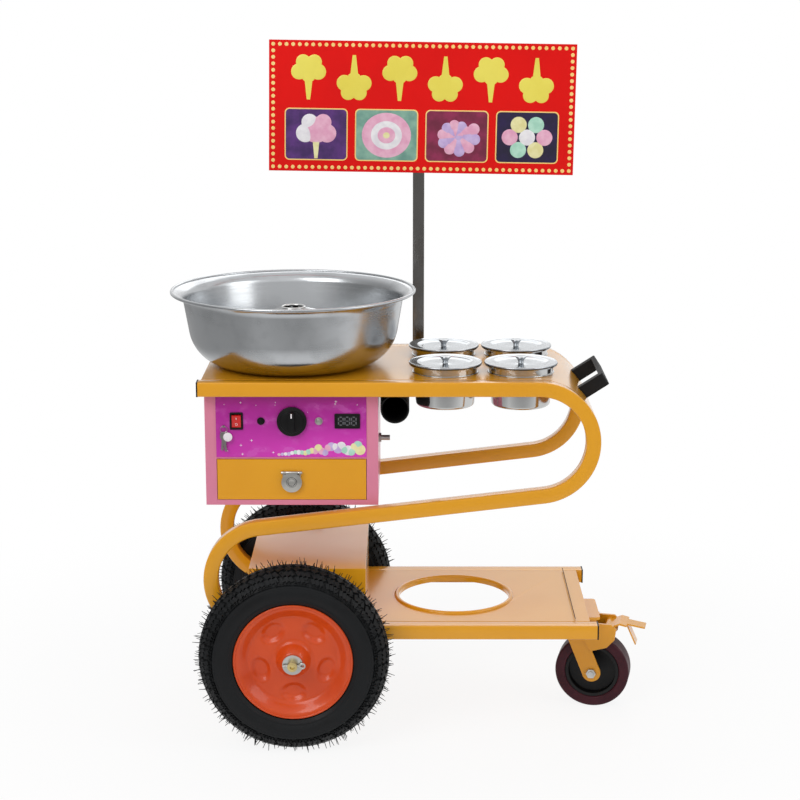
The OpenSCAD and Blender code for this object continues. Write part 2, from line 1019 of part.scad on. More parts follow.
// Washers outside the hubs, split pins through the axle, spacers inside the hubs
module axle_fittings() {
    loop_r = 6;
    washer_y = wheel_y + hub_half;
    spacer_y = frame_w / 2;
    spacer_r = axle_d / 2 + 4;
    bore = axle_d / 2 + seat_gap;
    piece(zinc)
        for (side = [0, 1])
            mirror([0, side, 0]) {
                difference() {
                    rod_y(wheel_x, tyre_r, -washer_y - washer_t, -washer_y - race_gap, washer_d / 2);
                    rod_y(wheel_x, tyre_r, -washer_y - washer_t - eps, -washer_y + eps, bore);
                }
                difference() {
                    rod_y(wheel_x, tyre_r, -wheel_y + hub_half + race_gap, -spacer_y, spacer_r);
                    rod_y(wheel_x, tyre_r, -wheel_y + hub_half, -spacer_y + eps, bore);
                }
                translate([wheel_x - axle_d, -split_y, tyre_r])
                    rotate([0, 90, 0])
                        cylinder(h = 2 * axle_d - loop_r, d = split_d);
                translate([wheel_x + axle_d, -split_y, tyre_r])
                    rotate([90, 0, 0])
                        rotate_extrude()
                            translate([loop_r - split_d / 4, 0])
                                circle(d = split_d);
            }
}

// Square socket welded behind the far rail, closed below
module pole_socket() {
    half = socket_side / 2;
    z0 = deck_z - socket_len;
    translate([pole_x, pole_y, 0])
        difference() {
            block([-half, -half, z0], [half, half, deck_z]);
            block([-half + socket_t, -half + socket_t, z0 + socket_t],
                [half - socket_t, half - socket_t, deck_z + eps]);
        }
}

module frame_brackets() {
    piece(yellow) {
        axle_saddles();
        pole_socket();
    }
}

module sign_pole() {
    wall = 1.5;
    z0 = deck_z - socket_len + socket_t;
    z1 = sign_z + sign_h / 2 - 30;
    piece(steel)
        translate([pole_x, pole_y, 0])
            difference() {
                translate([0, 0, z0])
                    linear_extrude(z1 - z0)
                        round_rect([pole, pole], 2);
                block([-pole / 2 + wall, -pole / 2 + wall, z0 - eps],
                    [pole / 2 - wall, pole / 2 - wall, z1 - wall]);
            }
}

module sign_board() {
    y1 = pole_y - pole / 2;
    piece(sign_red)
        translate([sign_x, 0, sign_z])
            rotate([0, sign_lean, 0])
                upright(y1 - sign_t, y1)
                    square([sign_w, sign_h], center = true);
}

// Castor top plate with its king pin and head
module top_plate() {
    head_top = crown_z - race_gap;
    translate([castor_x, 0, 0]) {
        translate([0, 0, plate_bottom])
            linear_extrude(plate_t)
                round_rect(plate_size, 8);
        translate([0, 0, head_top - king_head_h])
            cylinder(h = plate_bottom - head_top + king_head_h, r = king_r);
        translate([0, 0, head_top - king_head_h])
            cylinder(h = king_head_h, r = king_head_r);
    }
}

module plate_bolts() {
    head_d = 15;
    head_h = 6;
    inset = [14, 14];
    for (x = [-1, 1], y = [-1, 1])
        translate([castor_x + x * (plate_size.x / 2 - inset.x), y * (plate_size.y / 2 - inset.y),
            plate_bottom - head_h])
            cylinder(h = head_h, d = head_d, $fn = 6);
}

module castor_plate() {
    piece(yellow) {
        top_plate();
        plate_bolts();
    }
}

module spindle_rod() {
    z0 = belt_z - pulley_w / 2 - 8;
    z1 = deck_z + spinner_rise - cone_h - band_h;
    translate([bowl_x, 0, z0])
        cylinder(h = z1 - z0, d = shaft_d);
}

// Belt pulley outline, bored to fit its shaft
module pulley(bore_d) {
    difference() {
        rotate_extrude()
            difference() {
                translate([0, -pulley_w / 2])
                    square([pulley_r, pulley_w]);
                translate([groove_r, -belt_w / 2 - 1])
                    square([pulley_r, belt_w + 2]);
            }
        translate([0, 0, -pulley_w])
            cylinder(h = 2 * pulley_w, d = bore_d);
    }
}

module driven_pulley() {
    translate([bowl_x, 0, belt_z])
        pulley(shaft_d + 2 * seat_gap);
}

module spindle() {
    piece(zinc) {
        spindle_rod();
        driven_pulley();
    }
}

module motor_pulley() {
    tip = motor_top - motor_h + 16;
    piece(zinc)
        translate([motor_x, 0, 0]) {
            translate([0, 0, belt_z])
                pulley(motor_shaft_d - 1);
            translate([0, 0, belt_z - pulley_w / 2])
                cylinder(h = tip - belt_z + pulley_w / 2, d = motor_shaft_d);
        }
}

// Cup of the head: a floor on the spindle and a band cut into slots
module spinner_base() {
    floor_t = 4;
    slot_w = 4;
    slot_h = band_h - floor_t - 3;
    boss_h = 22;
    piece(steel)
        translate([bowl_x, 0, spinner_z0])
            difference() {
                union() {
                    cylinder(h = floor_t, d = spinner_d);
                    difference() {
                        cylinder(h = band_h, d = spinner_d);
                        translate([0, 0, floor_t])
                            cylinder(h = band_h, d = spinner_d - 2 * band_t);
                    }
                    translate([0, 0, -boss_h])
                        difference() {
                            cylinder(h = boss_h, d = shaft_d + 12);
                            translate([0, 0, -eps])
                                cylinder(h = boss_h + eps, d = shaft_d + 2 * seat_gap);
                        }
                }
                for (i = [0:slot_count - 1])
                    rotate(i * 360 / slot_count)
                        translate([spinner_d / 2 - 2 * band_t, -slot_w / 2, floor_t + 1])
                            cube([3 * band_t, slot_w, slot_h]);
            }
}

// Cone over the band with a rolled mouth
module spinner_cover() {
    t = 2;
    lip_r = 2.5;
    mouth_r = mouth_d / 2;
    rise = cone_h - lip_r;
    piece(steel)
        translate([bowl_x, 0, spinner_z0 + band_h])
            rotate_extrude() {
                polygon([[spinner_d / 2, 0], [spinner_d / 2, t], [mouth_r + lip_r, rise],
                    [mouth_r + lip_r, rise - t], [spinner_d / 2 - 2 * band_t, 0]]);
                translate([mouth_r + lip_r, rise])
                    circle(lip_r);
            }
}

// Spun bowl: flat base with a collar, curved corner, leaning wall, flared and rolled rim
module bowl() {
    base_r = bowl_base_d / 2;
    hole_r = bowl_hole_d / 2;
    turn = [base_r, bowl_corner_r];
    mid_r = bowl_corner_r - bowl_t / 2;
    wall_foot = turn + polar(mid_r, -bowl_lean);
    wall_len = (bowl_wall_h - wall_foot.y) / cos(bowl_lean);
    wall_head = wall_foot + polar(wall_len, 90 - bowl_lean);
    roll_x = bowl_rim_d / 2 - bowl_roll_r;
    roll_at = [roll_x, wall_head.y + (roll_x - wall_head.x)];
    piece(steel)
        translate([bowl_x, 0, deck_z])
            rotate_extrude() {
                translate([hole_r, 0])
                    square([base_r - hole_r, bowl_t]);
                translate([hole_r, 0])
                    square([bowl_t, bowl_collar_h]);
                translate(turn)
                    ring_sector(mid_r, bowl_t, -90, -bowl_lean);
                bar2d(wall_foot, wall_head, bowl_t);
                bar2d(wall_head, roll_at, bowl_t);
                translate(roll_at)
                    circle(bowl_roll_r);
            }
}

// Spun canister with a seat bead on the table and a rolled neck
module canister(i, j) {
    r0 = canister_base_d / 2;
    r1 = canister_d / 2;
    bead = 2.5;
    bead_h = 2;
    roll = 1.8;
    piece(steel)
        translate([canister_x + i * canister_dx, j * canister_dy / 2, deck_z])
            rotate_extrude() {
                translate([0, -canister_depth])
                    square([r0, canister_t]);
                polygon([[r0, -canister_depth], [r1, 0], [r1, canister_neck],
                    [r1 - canister_t, canister_neck], [r1 - canister_t, 0],
                    [r0 - canister_t, -canister_depth]]);
                translate([r1 - canister_t, 0])
                    square([bead + canister_t, bead_h]);
                translate([r1 - canister_t, canister_neck - roll])
                    circle(roll);
            }
}

// Shallow lid with a turned down skirt, a plug lip and a knob
module lid(i, j) {
    t = 1.2;
    skirt = 6;
    plug_r = canister_d / 2 - canister_t - 3.5;
    plug_h = 6;
    roll = 2;
    knob_r = 11;
    knob_h = 9;
    neck_r = 5;
    neck_h = 7;
    dish_r = lid_d / 2 - 12;
    piece(steel)
        translate([canister_x + i * canister_dx, j * canister_dy / 2, deck_z + canister_neck])
            rotate_extrude() {
                square([lid_d / 2 - roll, t]);
                translate([lid_d / 2 - roll, roll / 2])
                    circle(roll);
                translate([lid_d / 2 - t, -skirt + roll])
                    square([t, skirt - roll / 2]);
                translate([plug_r - t, -plug_h])
                    square([t, plug_h]);
                translate([dish_r, t])
                    intersection() {
                        circle(roll);
                        translate([-roll, -t])
                            square([2 * roll, 2 * roll]);
                    }
                square([neck_r, neck_h + t]);
                translate([0, neck_h])
                    square([knob_r - 3, knob_h - 3]);
                translate([knob_r - 3, neck_h + (knob_h - 3) / 2])
                    circle((knob_h - 3) / 2);
            }
}

// Open tray that runs on the strips
module drawer_tray() {
    x0 = panel_x0 + drawer_inset;
    x1 = panel_x1 - drawer_inset;
    y0 = front_y + box_t + 2;
    piece(zinc)
        difference() {
            block([x0, y0, drawer_floor], [x1, y0 + drawer_len, drawer_floor + drawer_side_h]);
            block([x0 + drawer_wall, y0 + drawer_wall, drawer_floor + drawer_wall],
                [x1 - drawer_wall, y0 + drawer_len - drawer_wall, drawer_floor + drawer_h]);
        }
}

// Front with folded edges, set in the box opening
module drawer_front() {
    y0 = front_y - 1;
    y1 = front_y + box_t + 2;
    piece(yellow)
        difference() {
            block([panel_x0 + drawer_gap, y0, drawer_z0 + drawer_gap],
                [panel_x1 - drawer_gap, y1, drawer_z1 - drawer_gap]);
            for (side = [-1, 1])
                rod_y(latch_x + side * (latch_w / 2 - 8), latch_z - 30, y0 - eps, y1 + eps, 1.6);
        }
}

// Back plate of the latch with two hinge knuckles and the pin
module latch_plate() {
    pin_z = latch_z;
    knuckle = 9;
    half = latch_w / 2;
    pin_y = latch_y - knuckle_r - latch_t;
    piece(steel)
        translate([latch_x, 0, 0]) {
            upright(latch_y - latch_t, latch_y)
                translate([0, pin_z - 16])
                    round_rect([latch_w - 6, 34], 4);
            for (side = [0, 1])
                mirror([side, 0, 0])
                    translate([half - knuckle, pin_y, pin_z])
                        rotate([0, 90, 0])
                            cylinder(h = knuckle, r = knuckle_r);
            for (side = [0, 1])
                mirror([side, 0, 0])
                    block([half - knuckle, pin_y, pin_z - hinge_r],
                        [half, latch_y - latch_t, pin_z + hinge_r]);
            translate([-half, pin_y, pin_z])
                rotate([0, 90, 0])
                    cylinder(h = latch_w, r = hinge_r);
        }
}

// Flip plate with a round end and a pressed ring
module latch_flap() {
    pin_z = latch_z;
    half = latch_w / 2;
    knuckle = 9;
    pin_y = latch_y - knuckle_r - latch_t;
    drop = 20;
    round_r = half - 0.5;
    ring_r = 10;
    ring_t = 1.5;
    piece(steel)
        translate([latch_x, 0, 0]) {
            difference() {
                translate([0, pin_y, pin_z])
                    rotate([0, 90, 0])
                        cylinder(h = latch_w - 2 * knuckle - 2 * side_gap, r = knuckle_r, center = true);
                translate([0, pin_y, pin_z])
                    rotate([0, 90, 0])
                        cylinder(h = latch_w, r = hinge_r + run_gap, center = true);
            }
            upright(pin_y - knuckle_r, pin_y - knuckle_r + latch_t) {
                translate([0, pin_z - drop])
                    intersection() {
                        circle(round_r);
                        translate([-half, -half])
                            square([latch_w, half + drop - knuckle_r - 1]);
                    }
                translate([0, pin_z - knuckle_r])
                    square([latch_w - 2 * knuckle - 2 * side_gap, 2 * knuckle_r], center = true);
            }
            translate([0, pin_y - knuckle_r - ring_t, pin_z - drop])
                rotate([-90, 0, 0])
                    difference() {
                        cylinder(h = ring_t, r = ring_r);
                        translate([0, 0, -eps])
                            cylinder(h = ring_t + 2 * eps, r = ring_r - 2);
                    }
        }
}

// Two sided paddle, resting with its top pressed out
module rocker() {
    half_w = rocker_well.x / 2 - 1.2 - side_gap;
    half_h = 12.6;
    face = 5;
    waist = 3;
    back = 7;
    pin_r = 2;
    pin_out = 0.3;
    piece(switch_red)
        translate([rocker_x, panel_y + 1, control_z])
            rotate([rocker_tilt, 0, 0]) {
                translate([-half_w, 0, 0])
                    rotate([90, 0, 90])
                        linear_extrude(2 * half_w)
                            polygon([[-face, -half_h], [-waist, 0], [-face, half_h], [2, half_h],
                                [back, 5], [back, -5], [2, -half_h]]);
                rotate([0, 90, 0])
                    cylinder(h = 2 * (half_w + pin_out), r = pin_r, center = true);
            }
}

// Round knob with a grip bar across it
module knob() {
    skirt_t = 6;
    body_r = knob_d / 2 - 7;
    body_t = 9;
    bar_w = 13;
    bar_t = 20;
    bar_reach = body_r - bar_w / 2 - 1;
    back = panel_y - 2.5;
    piece(black)
        difference() {
            union() {
                rod_y(knob_x, control_z, back - skirt_t, back, knob_d / 2);
                rod_y(knob_x, control_z, back - body_t, back, body_r);
                translate([knob_x, 0, control_z])
                    upright(back - bar_t, back - skirt_t)
                        bar2d([0, -bar_reach], [0, bar_reach], bar_w);
            }
            rod_y(knob_x, control_z, back - 10, back + eps, stem_d / 2 + seat_gap);
        }
}

module valve_stem() {
    back = panel_y - 2.5;
    piece(brass)
        rod_y(knob_x, control_z, back - 10 + eps, front_y + 36, stem_d / 2);
}

// Plunger of a round button
module plunger(x) {
    front = panel_y - button_proud - button_travel;
    rod_y(x, control_z, front, front + button_len + button_travel, button_d / 2);
}

module push_button() {
    piece(black)
        plunger(push_x);
}

module metal_button() {
    piece(steel)
        plunger(metal_x);
}

// Tyre with a round crown, a hollow carcass and slanted lugs on both sides
module tyre() {
    section_r = tyre_w / 2;
    core_r = tyre_r - section_r;
    hollow_r = section_r - 13;
    hollow_at = core_r - 6;
    groove = [16, 6, 30];
    groove_cut = 3;
    groove_turn = 36;
    groove_slant = 28;
    shell = rim_half + 0.3;
    difference() {
        rotate_extrude()
            difference() {
                translate([core_r, 0])
                    circle(section_r);
                translate([hollow_at, 0])
                    circle(hollow_r);
                translate([0, -tyre_w])
                    square([bead_r + 0.3, 2 * tyre_w]);
                for (side = [0, 1])
                    mirror([0, side])
                        translate([0, shell - 0.6])
                            square([rim_r + 1.5, tyre_w]);
                translate([0, -rim_half + 12])
                    square([hollow_at, 2 * rim_half - 24]);
            }
        for (side = [-1, 1], i = [0:lug_count - 1])
            rotate(i * 360 / lug_count + (side > 0 ? 0 : 180 / lug_count))
                translate([core_r, 0, 0])
                    rotate([0, -side * groove_turn, 0])
                        translate([section_r - groove_cut + groove.x / 2, 0, 0])
                            rotate([side * groove_slant, 0, 0])
                                cube(groove, center = true);
    }
    rotate(valve_at)
        pipe_run([[bead_r + 1, 0, rim_half - valve_in], [bead_r - valve_in, 0, rim_half - valve_in],
            [bead_r - valve_in, 0, rim_half + valve_out]], valve_r);
}

// Pressed rim: channel with rolled flanges, dished disc with five dents, hub tube
module wheel_disc() {
    dent_z = disc_w + rim_t + dent_r - dent_depth;
    skirt_r = hub_r + 20;
    difference() {
        union() {
            rotate_extrude() {
                translate([bead_r - rim_t, -rim_half - rim_t])
                    square([rim_t, 2 * (rim_half + rim_t)]);
                for (side = [-1, 1]) {
                    translate([bead_r - rim_t, side * (rim_half + rim_t / 2) - rim_t / 2])
                        square([rim_r - bead_r + rim_t - 2.5, rim_t]);
                    translate([rim_r - 2.5, side * (rim_half + rim_t / 2 + 1.15)])
                        circle(2.5);
                }
                translate([skirt_r, disc_w])
                    square([bead_r - rim_t / 2 - skirt_r, rim_t]);
                polygon([[hub_r - 1, hub_half - 6], [hub_r + 3, hub_half - 6],
                    [skirt_r + 2, disc_w + rim_t], [skirt_r + 2, disc_w], [skirt_r - 2, disc_w],
                    [hub_r - 1, hub_half - 10]]);
                translate([axle_d / 2 + run_gap, -hub_half])
                    square([hub_r - axle_d / 2 - run_gap, 2 * hub_half]);
            }
            for (i = [0:4])
                rotate(54 + i * 72)
                    intersection() {
                        translate([dent_at, 0, dent_z])
                            sphere(dent_r + rim_t);
                        translate([dent_at, 0, 0])
                            cylinder(h = disc_w + rim_t / 2, r = dent_r);
                    }
        }
        for (i = [0:4])
            rotate(54 + i * 72)
                translate([dent_at, 0, dent_z])
                    sphere(dent_r);
        rotate(valve_at)
            translate([bead_r - 2 * rim_t, 0, rim_half - valve_in])
                rotate([0, 90, 0])
                    cylinder(h = 4 * rim_t, r = valve_r + 0.2);
    }
}

// Wheel place: outside face toward the front, or toward the back
module at_wheel(front) {
    translate([wheel_x, (front ? -1 : 1) * wheel_y, tyre_r])
        rotate([front ? 90 : -90, 0, 0])
            children();
}

module near_tyre() {
    piece(rubber)
        at_wheel(true)
            tyre();
}

module near_disc() {
    piece(rim_red)
        at_wheel(true)
            wheel_disc();
}

module far_tyre() {
    piece(rubber)
        at_wheel(false)
            tyre();
}

module far_disc() {
    piece(rim_red)
        at_wheel(false)
            wheel_disc();
}

// Castor place: X along the trail, turned to its rest angle
module at_castor() {
    translate([castor_x, 0, 0])
        rotate(-castor_yaw)
            children();
}

// Fork: raceway disc and crown, two cheeks with feet for the axle and ears for the pedal pin
module castor_fork() {
    fork_out = fork_in + fork_t;
    bore = king_r + run_gap;
    foot = [castor_trail, castor_r];
    side_out = polar(fork_foot_r - 0.3, fork_lean);
    leg = polar((ear_z - castor_r) / cos(fork_lean), 90 + fork_lean);
    piece(yellow)
        at_castor() {
            difference() {
                union() {
                    translate([0, 0, crown_top])
                        cylinder(h = race_t, r = crown_r);
                    block([-crown_r + 6, -fork_out, crown_z], [castor_trail + 8, fork_out, crown_top]);
                }
                translate([0, 0, crown_z - eps])
                    cylinder(h = crown_t + race_t + 2 * eps, r = bore);
            }
            for (side = [0, 1])
                mirror([0, side, 0])
                    upright(-fork_out, -fork_in)
                        difference() {
                            union() {
                                translate(foot)
                                    circle(fork_foot_r);
                                polygon([foot - side_out, foot + side_out, foot + side_out + leg,
                                    [crown_r - 10, crown_z], [crown_r - 10, crown_top],
                                    [-crown_r + 14, crown_top], [-crown_r + 14, crown_z],
                                    foot - side_out + leg]);
                            }
                            translate([castor_trail, castor_r])
                                circle(castor_axle_d / 2 + seat_gap);
                        }
            for (side = [0, 1])
                mirror([0, side, 0])
                    upright(-fork_out - cheek_t, -fork_in)
                        brake_cheek();
            rod_y(ear_x, ear_z, -fork_in - eps, fork_in + eps, ear_pin_r);
        }
}

// Side plate of the brake, welded on the fork and round the pedal's pin
module brake_cheek() {
    foot = [castor_trail - 2, castor_r + 50];
    polygon([foot, [ear_x, castor_r + 60], [ear_x + 17, ear_z - 20], [ear_x + 20, ear_z + 4],
        [ear_x + 10, crown_z + 2], [crown_r - 20, crown_z + 3], [crown_r - 20, ear_z - 8]]);
}

// Axle bolt with a hex head and a nut
module castor_axle() {
    out = fork_in + fork_t;
    head_r = 11;
    head_t = 8;
    piece(zinc)
        at_castor() {
            rod_y(castor_trail, castor_r, -out - head_t - 3, out, castor_axle_d / 2);
            for (side = [-1, 1])
                translate([castor_trail, side * (out + head_t / 2), castor_r])
                    rotate([90, 0, 0])
                        cylinder(h = head_t, r = head_r, center = true, $fn = 6);
        }
}

module castor_core() {
    hub = castor_axle_d / 2 + 9;
    rim = castor_r - tread_t;
    web = 8;
    band = 7;
    piece(black)
        at_castor()
            translate([castor_trail, 0, castor_r])
                rotate([90, 0, 0])
                    rotate_extrude() {
                        translate([castor_axle_d / 2 + run_gap, -fork_in + side_gap])
                            square([hub - castor_axle_d / 2 - run_gap, 2 * (fork_in - side_gap)]);
                        translate([hub - 1, -web / 2])
                            square([rim - hub, web]);
                        translate([rim - band, -castor_w / 2 + 2])
                            square([band, castor_w - 4]);
                    }
}

module castor_tread() {
    rim = castor_r - tread_t;
    piece(maroon)
        at_castor()
            translate([castor_trail, 0, castor_r])
                rotate([90, 0, 0])
                    rotate_extrude()
                        intersection() {
                            translate([rim + tread_t / 2, 0])
                                round_rect([tread_t, castor_w], 5);
                            translate([rim, -castor_w])
                                square([tread_t, 2 * castor_w]);
                        }
}

// Foot pedal: barrel on the ear pin, a plate to the tip and a release claw
module brake_pedal() {
    barrel = [ear_x, ear_z];
    root_rise = barrel_r / 4;
    knee = [ear_x + 26, ear_z + 14];
    fork_at = [ear_x + 40, ear_z + 11];
    tip = [pedal_tip, ear_z + 5];
    claw = [claw_tip, ear_z - 33];
    claw_half = pedal_half / 2;
    claw_t = pedal_t - 1;
    piece(yellow)
        at_castor() {
            difference() {
                upright(-pedal_half, pedal_half) {
                    translate(barrel)
                        circle(barrel_r);
                    strip2d(barrel + [0, root_rise], knee, pedal_t);
                    strip2d(knee, fork_at, pedal_t);
                }
                rod_y(ear_x, ear_z, -fork_in, fork_in, ear_pin_r + run_gap);
            }
            upright(-tongue_half, tongue_half)
                strip2d(fork_at, tip, tongue_t);
            upright(-claw_half, claw_half)
                strip2d(fork_at, claw, claw_t);
        }
}

near_rail();
far_rail();
rail_plugs();
cross_tubes();
machine_top();
canister_top();
push_handle();
lower_tray();
battery_hood();
battery();
control_box();
control_panel();
panel_bezels();
metal_collar();
meter();
drawer_runners();
gas_inlet();
gas_line();
burner();
spindle_housing();
drive_motor();
drive_belt();
stick_tube();
axle();
frame_brackets();
axle_fittings();
sign_pole();
sign_board();
castor_plate();
spindle();
spinner_base();
spinner_cover();
motor_pulley();
bowl();
canister(0, -1);  // canister_1
canister(1, -1);  // canister_2
canister(0, 1);  // canister_3
canister(1, 1);  // canister_4
lid(0, -1);  // lid_1
lid(1, -1);  // lid_2
lid(0, 1);  // lid_3
lid(1, 1);  // lid_4
drawer_tray();
drawer_front();
latch_plate();
latch_flap();
rocker();
knob();
valve_stem();
push_button();
metal_button();
near_tyre();
near_disc();
far_tyre();
far_disc();
castor_fork();
castor_axle();
castor_core();
castor_tread();
brake_pedal();
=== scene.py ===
"""Looks of a cotton candy cart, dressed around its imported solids."""

from __future__ import annotations

import json
import logging
import math
import random
from dataclasses import dataclass, field, replace
from enum import Enum
from typing import Iterable, Sequence

import bmesh
import bpy
from mathutils import Matrix, Vector


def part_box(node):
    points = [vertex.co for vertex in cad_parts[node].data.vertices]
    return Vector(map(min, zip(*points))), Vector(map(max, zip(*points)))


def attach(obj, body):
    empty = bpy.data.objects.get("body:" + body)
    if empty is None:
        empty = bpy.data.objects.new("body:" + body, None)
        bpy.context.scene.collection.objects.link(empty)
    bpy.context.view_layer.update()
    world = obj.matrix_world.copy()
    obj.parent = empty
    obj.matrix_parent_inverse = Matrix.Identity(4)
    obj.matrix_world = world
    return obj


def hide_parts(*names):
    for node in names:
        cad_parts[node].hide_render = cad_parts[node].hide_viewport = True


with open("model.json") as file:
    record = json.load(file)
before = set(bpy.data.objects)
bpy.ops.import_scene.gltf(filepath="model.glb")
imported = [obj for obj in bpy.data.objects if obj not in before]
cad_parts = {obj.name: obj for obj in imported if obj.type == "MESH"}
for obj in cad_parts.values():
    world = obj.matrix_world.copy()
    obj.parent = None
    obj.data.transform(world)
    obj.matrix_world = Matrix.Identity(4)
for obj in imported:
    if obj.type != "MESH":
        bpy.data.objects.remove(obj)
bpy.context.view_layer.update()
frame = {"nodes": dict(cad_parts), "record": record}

LOG = logging.getLogger("cart")
MM = 0.001
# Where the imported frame's zero lies, in millimetres from the left rail ends.
ORIGIN_X = 437.964
FULL_TURN = 2 * math.pi

Point2 = tuple[float, float]
Point3 = tuple[float, float, float]
Colour = tuple[float, float, float, float]


def at(x: float, y: float, z: float) -> Vector:
    """A place on the cart in metres.

    Args:
        x: millimetres from the left rail ends.
        y: millimetres toward the back.
        z: millimetres above the ground.

    Returns:
        The same place in the cart's own frame.
    """
    return Vector(((x - ORIGIN_X) * MM, y * MM, z * MM))


def tint(red: int, green: int, blue: int) -> Colour:
    """A colour as seen on a screen, made linear.

    Args:
        red: 0 to 255.
        green: 0 to 255.
        blue: 0 to 255.

    Returns:
        Linear red, green, blue and a full alpha.
    """
    def lift(value: int) -> float:
        """One channel made linear."""
        part = value / 255
        return part / 12.92 if part <= 0.04045 else ((part + 0.055) / 1.055) ** 2.4

    return lift(red), lift(green), lift(blue), 1.0


class Side(Enum):
    """Which side of the cart a doubled piece is on."""

    NEAR = -1
    FAR = 1

    @property
    def word(self) -> str:
        """The side as a word."""
        return self.name.lower()


class Motif(Enum):
    """Plain motifs for the sign's small pictures."""

    PUFF = "puff"
    RINGS = "rings"
    TWIST = "twist"
    DROPS = "drops"


class Graph:
    """Short hand for laying out one node tree."""

    def __init__(self, tree: bpy.types.NodeTree) -> None:
        """Keeps the tree that nodes are added to."""
        self.tree = tree

    def add(self, kind: str, inputs: dict | None = None, **settings: object) -> bpy.types.Node:
        """Adds a node.

        Args:
            kind: the node's type name.
            inputs: socket name or number to a value or another socket.
            settings: attributes of the node.

        Returns:
            The new node.
        """
        node = self.tree.nodes.new(kind)
        for key, value in settings.items():
            setattr(node, key, value)
        self.fill(node, inputs or {})
        return node

    def fill(self, node: bpy.types.Node, inputs: dict) -> None:
        """Feeds several inputs of a node."""
        for key, value in inputs.items():
            self.feed(node.inputs[key], value)

    def feed(self, socket: bpy.types.NodeSocket, value: object) -> None:
        """Links a socket into another, or sets its value.

        Args:
            socket: the input that is fed.
            value: another node's output, or a plain value.
        """
        if isinstance(value, bpy.types.NodeSocket):
            self.tree.links.new(value, socket)
        else:
            socket.default_value = value

    def math(self, operation: str, *values: object, clamp: bool = False) -> bpy.types.NodeSocket:
        """One step of arithmetic.

        Args:
            operation: the Math node's operation.
            values: numbers or sockets.
            clamp: keeps the result between 0 and 1.

        Returns:
            The result's socket.
        """
        node = self.add("ShaderNodeMath", dict(enumerate(values)), operation=operation, use_clamp=clamp)
        return node.outputs[0]

    def split(self, vector: object) -> bpy.types.NodeOutputs:
        """A vector's three parts."""
        return self.add("ShaderNodeSeparateXYZ", {0: vector}).outputs

    def bump(self, height: object, strength: float, distance: float) -> bpy.types.NodeSocket:
        """A normal from a height.

        Args:
            height: the height's socket.
            strength: how much of it shows.
            distance: its full height in metres.

        Returns:
            The normal's socket.
        """
        node = self.add("ShaderNodeBump", {"Strength": strength, "Distance": distance, "Height": height})
        return node.outputs[0]

    def mix(self, share: object, first: object, second: object) -> bpy.types.NodeSocket:
        """Mixes two colours.

        Args:
            share: how much of the second colour shows.
            first: the first colour.
            second: the second colour.

        Returns:
            The mixed colour's socket.
        """
        node = self.add("ShaderNodeMix", {0: share, 6: first, 7: second}, data_type="RGBA")
        return node.outputs[2]

    def span(self, value: object, low: float, high: float, out_low: float,
             out_high: float) -> bpy.types.NodeSocket:
        """Maps one range smoothly onto another.

        Args:
            value: the number to map.
            low: start of its range.
            high: end of its range.
            out_low: result at the start.
            out_high: result at the end.

        Returns:
            The mapped number's socket.
        """
        node = self.add("ShaderNodeMapRange", {0: value, 1: low, 2: high, 3: out_low, 4: out_high},
                        interpolation_type="SMOOTHSTEP")
        return node.outputs[0]

    def noise(self, vector: object, scale: object, detail: float = 2.0) -> bpy.types.NodeSocket:
        """A noise value at a place.

        Args:
            vector: where it is read.
            scale: features in a metre, or a socket that gives them.
            detail: how many finer layers are added.

        Returns:
            The noise between 0 and 1.
        """
        node = self.add("ShaderNodeTexNoise", {"Vector": vector, "Scale": scale, "Detail": detail})
        return node.outputs[0]

    def place(self, centre: Sequence[float] = (0, 0, 0),
              stretch: Sequence[float] = (1, 1, 1)) -> bpy.types.NodeSocket:
        """The surface's own place, about a centre.

        Args:
            centre: the place that becomes zero, in metres.
            stretch: scale along each axis.

        Returns:
            A vector socket.
        """
        where = self.add("ShaderNodeTexCoord").outputs["Object"]
        shifted = self.add("ShaderNodeVectorMath", {0: where, 1: tuple(centre)}, operation="SUBTRACT")
        scaled = self.add("ShaderNodeVectorMath", {0: shifted.outputs[0], 1: tuple(stretch)},
                          operation="MULTIPLY")
        return scaled.outputs[0]


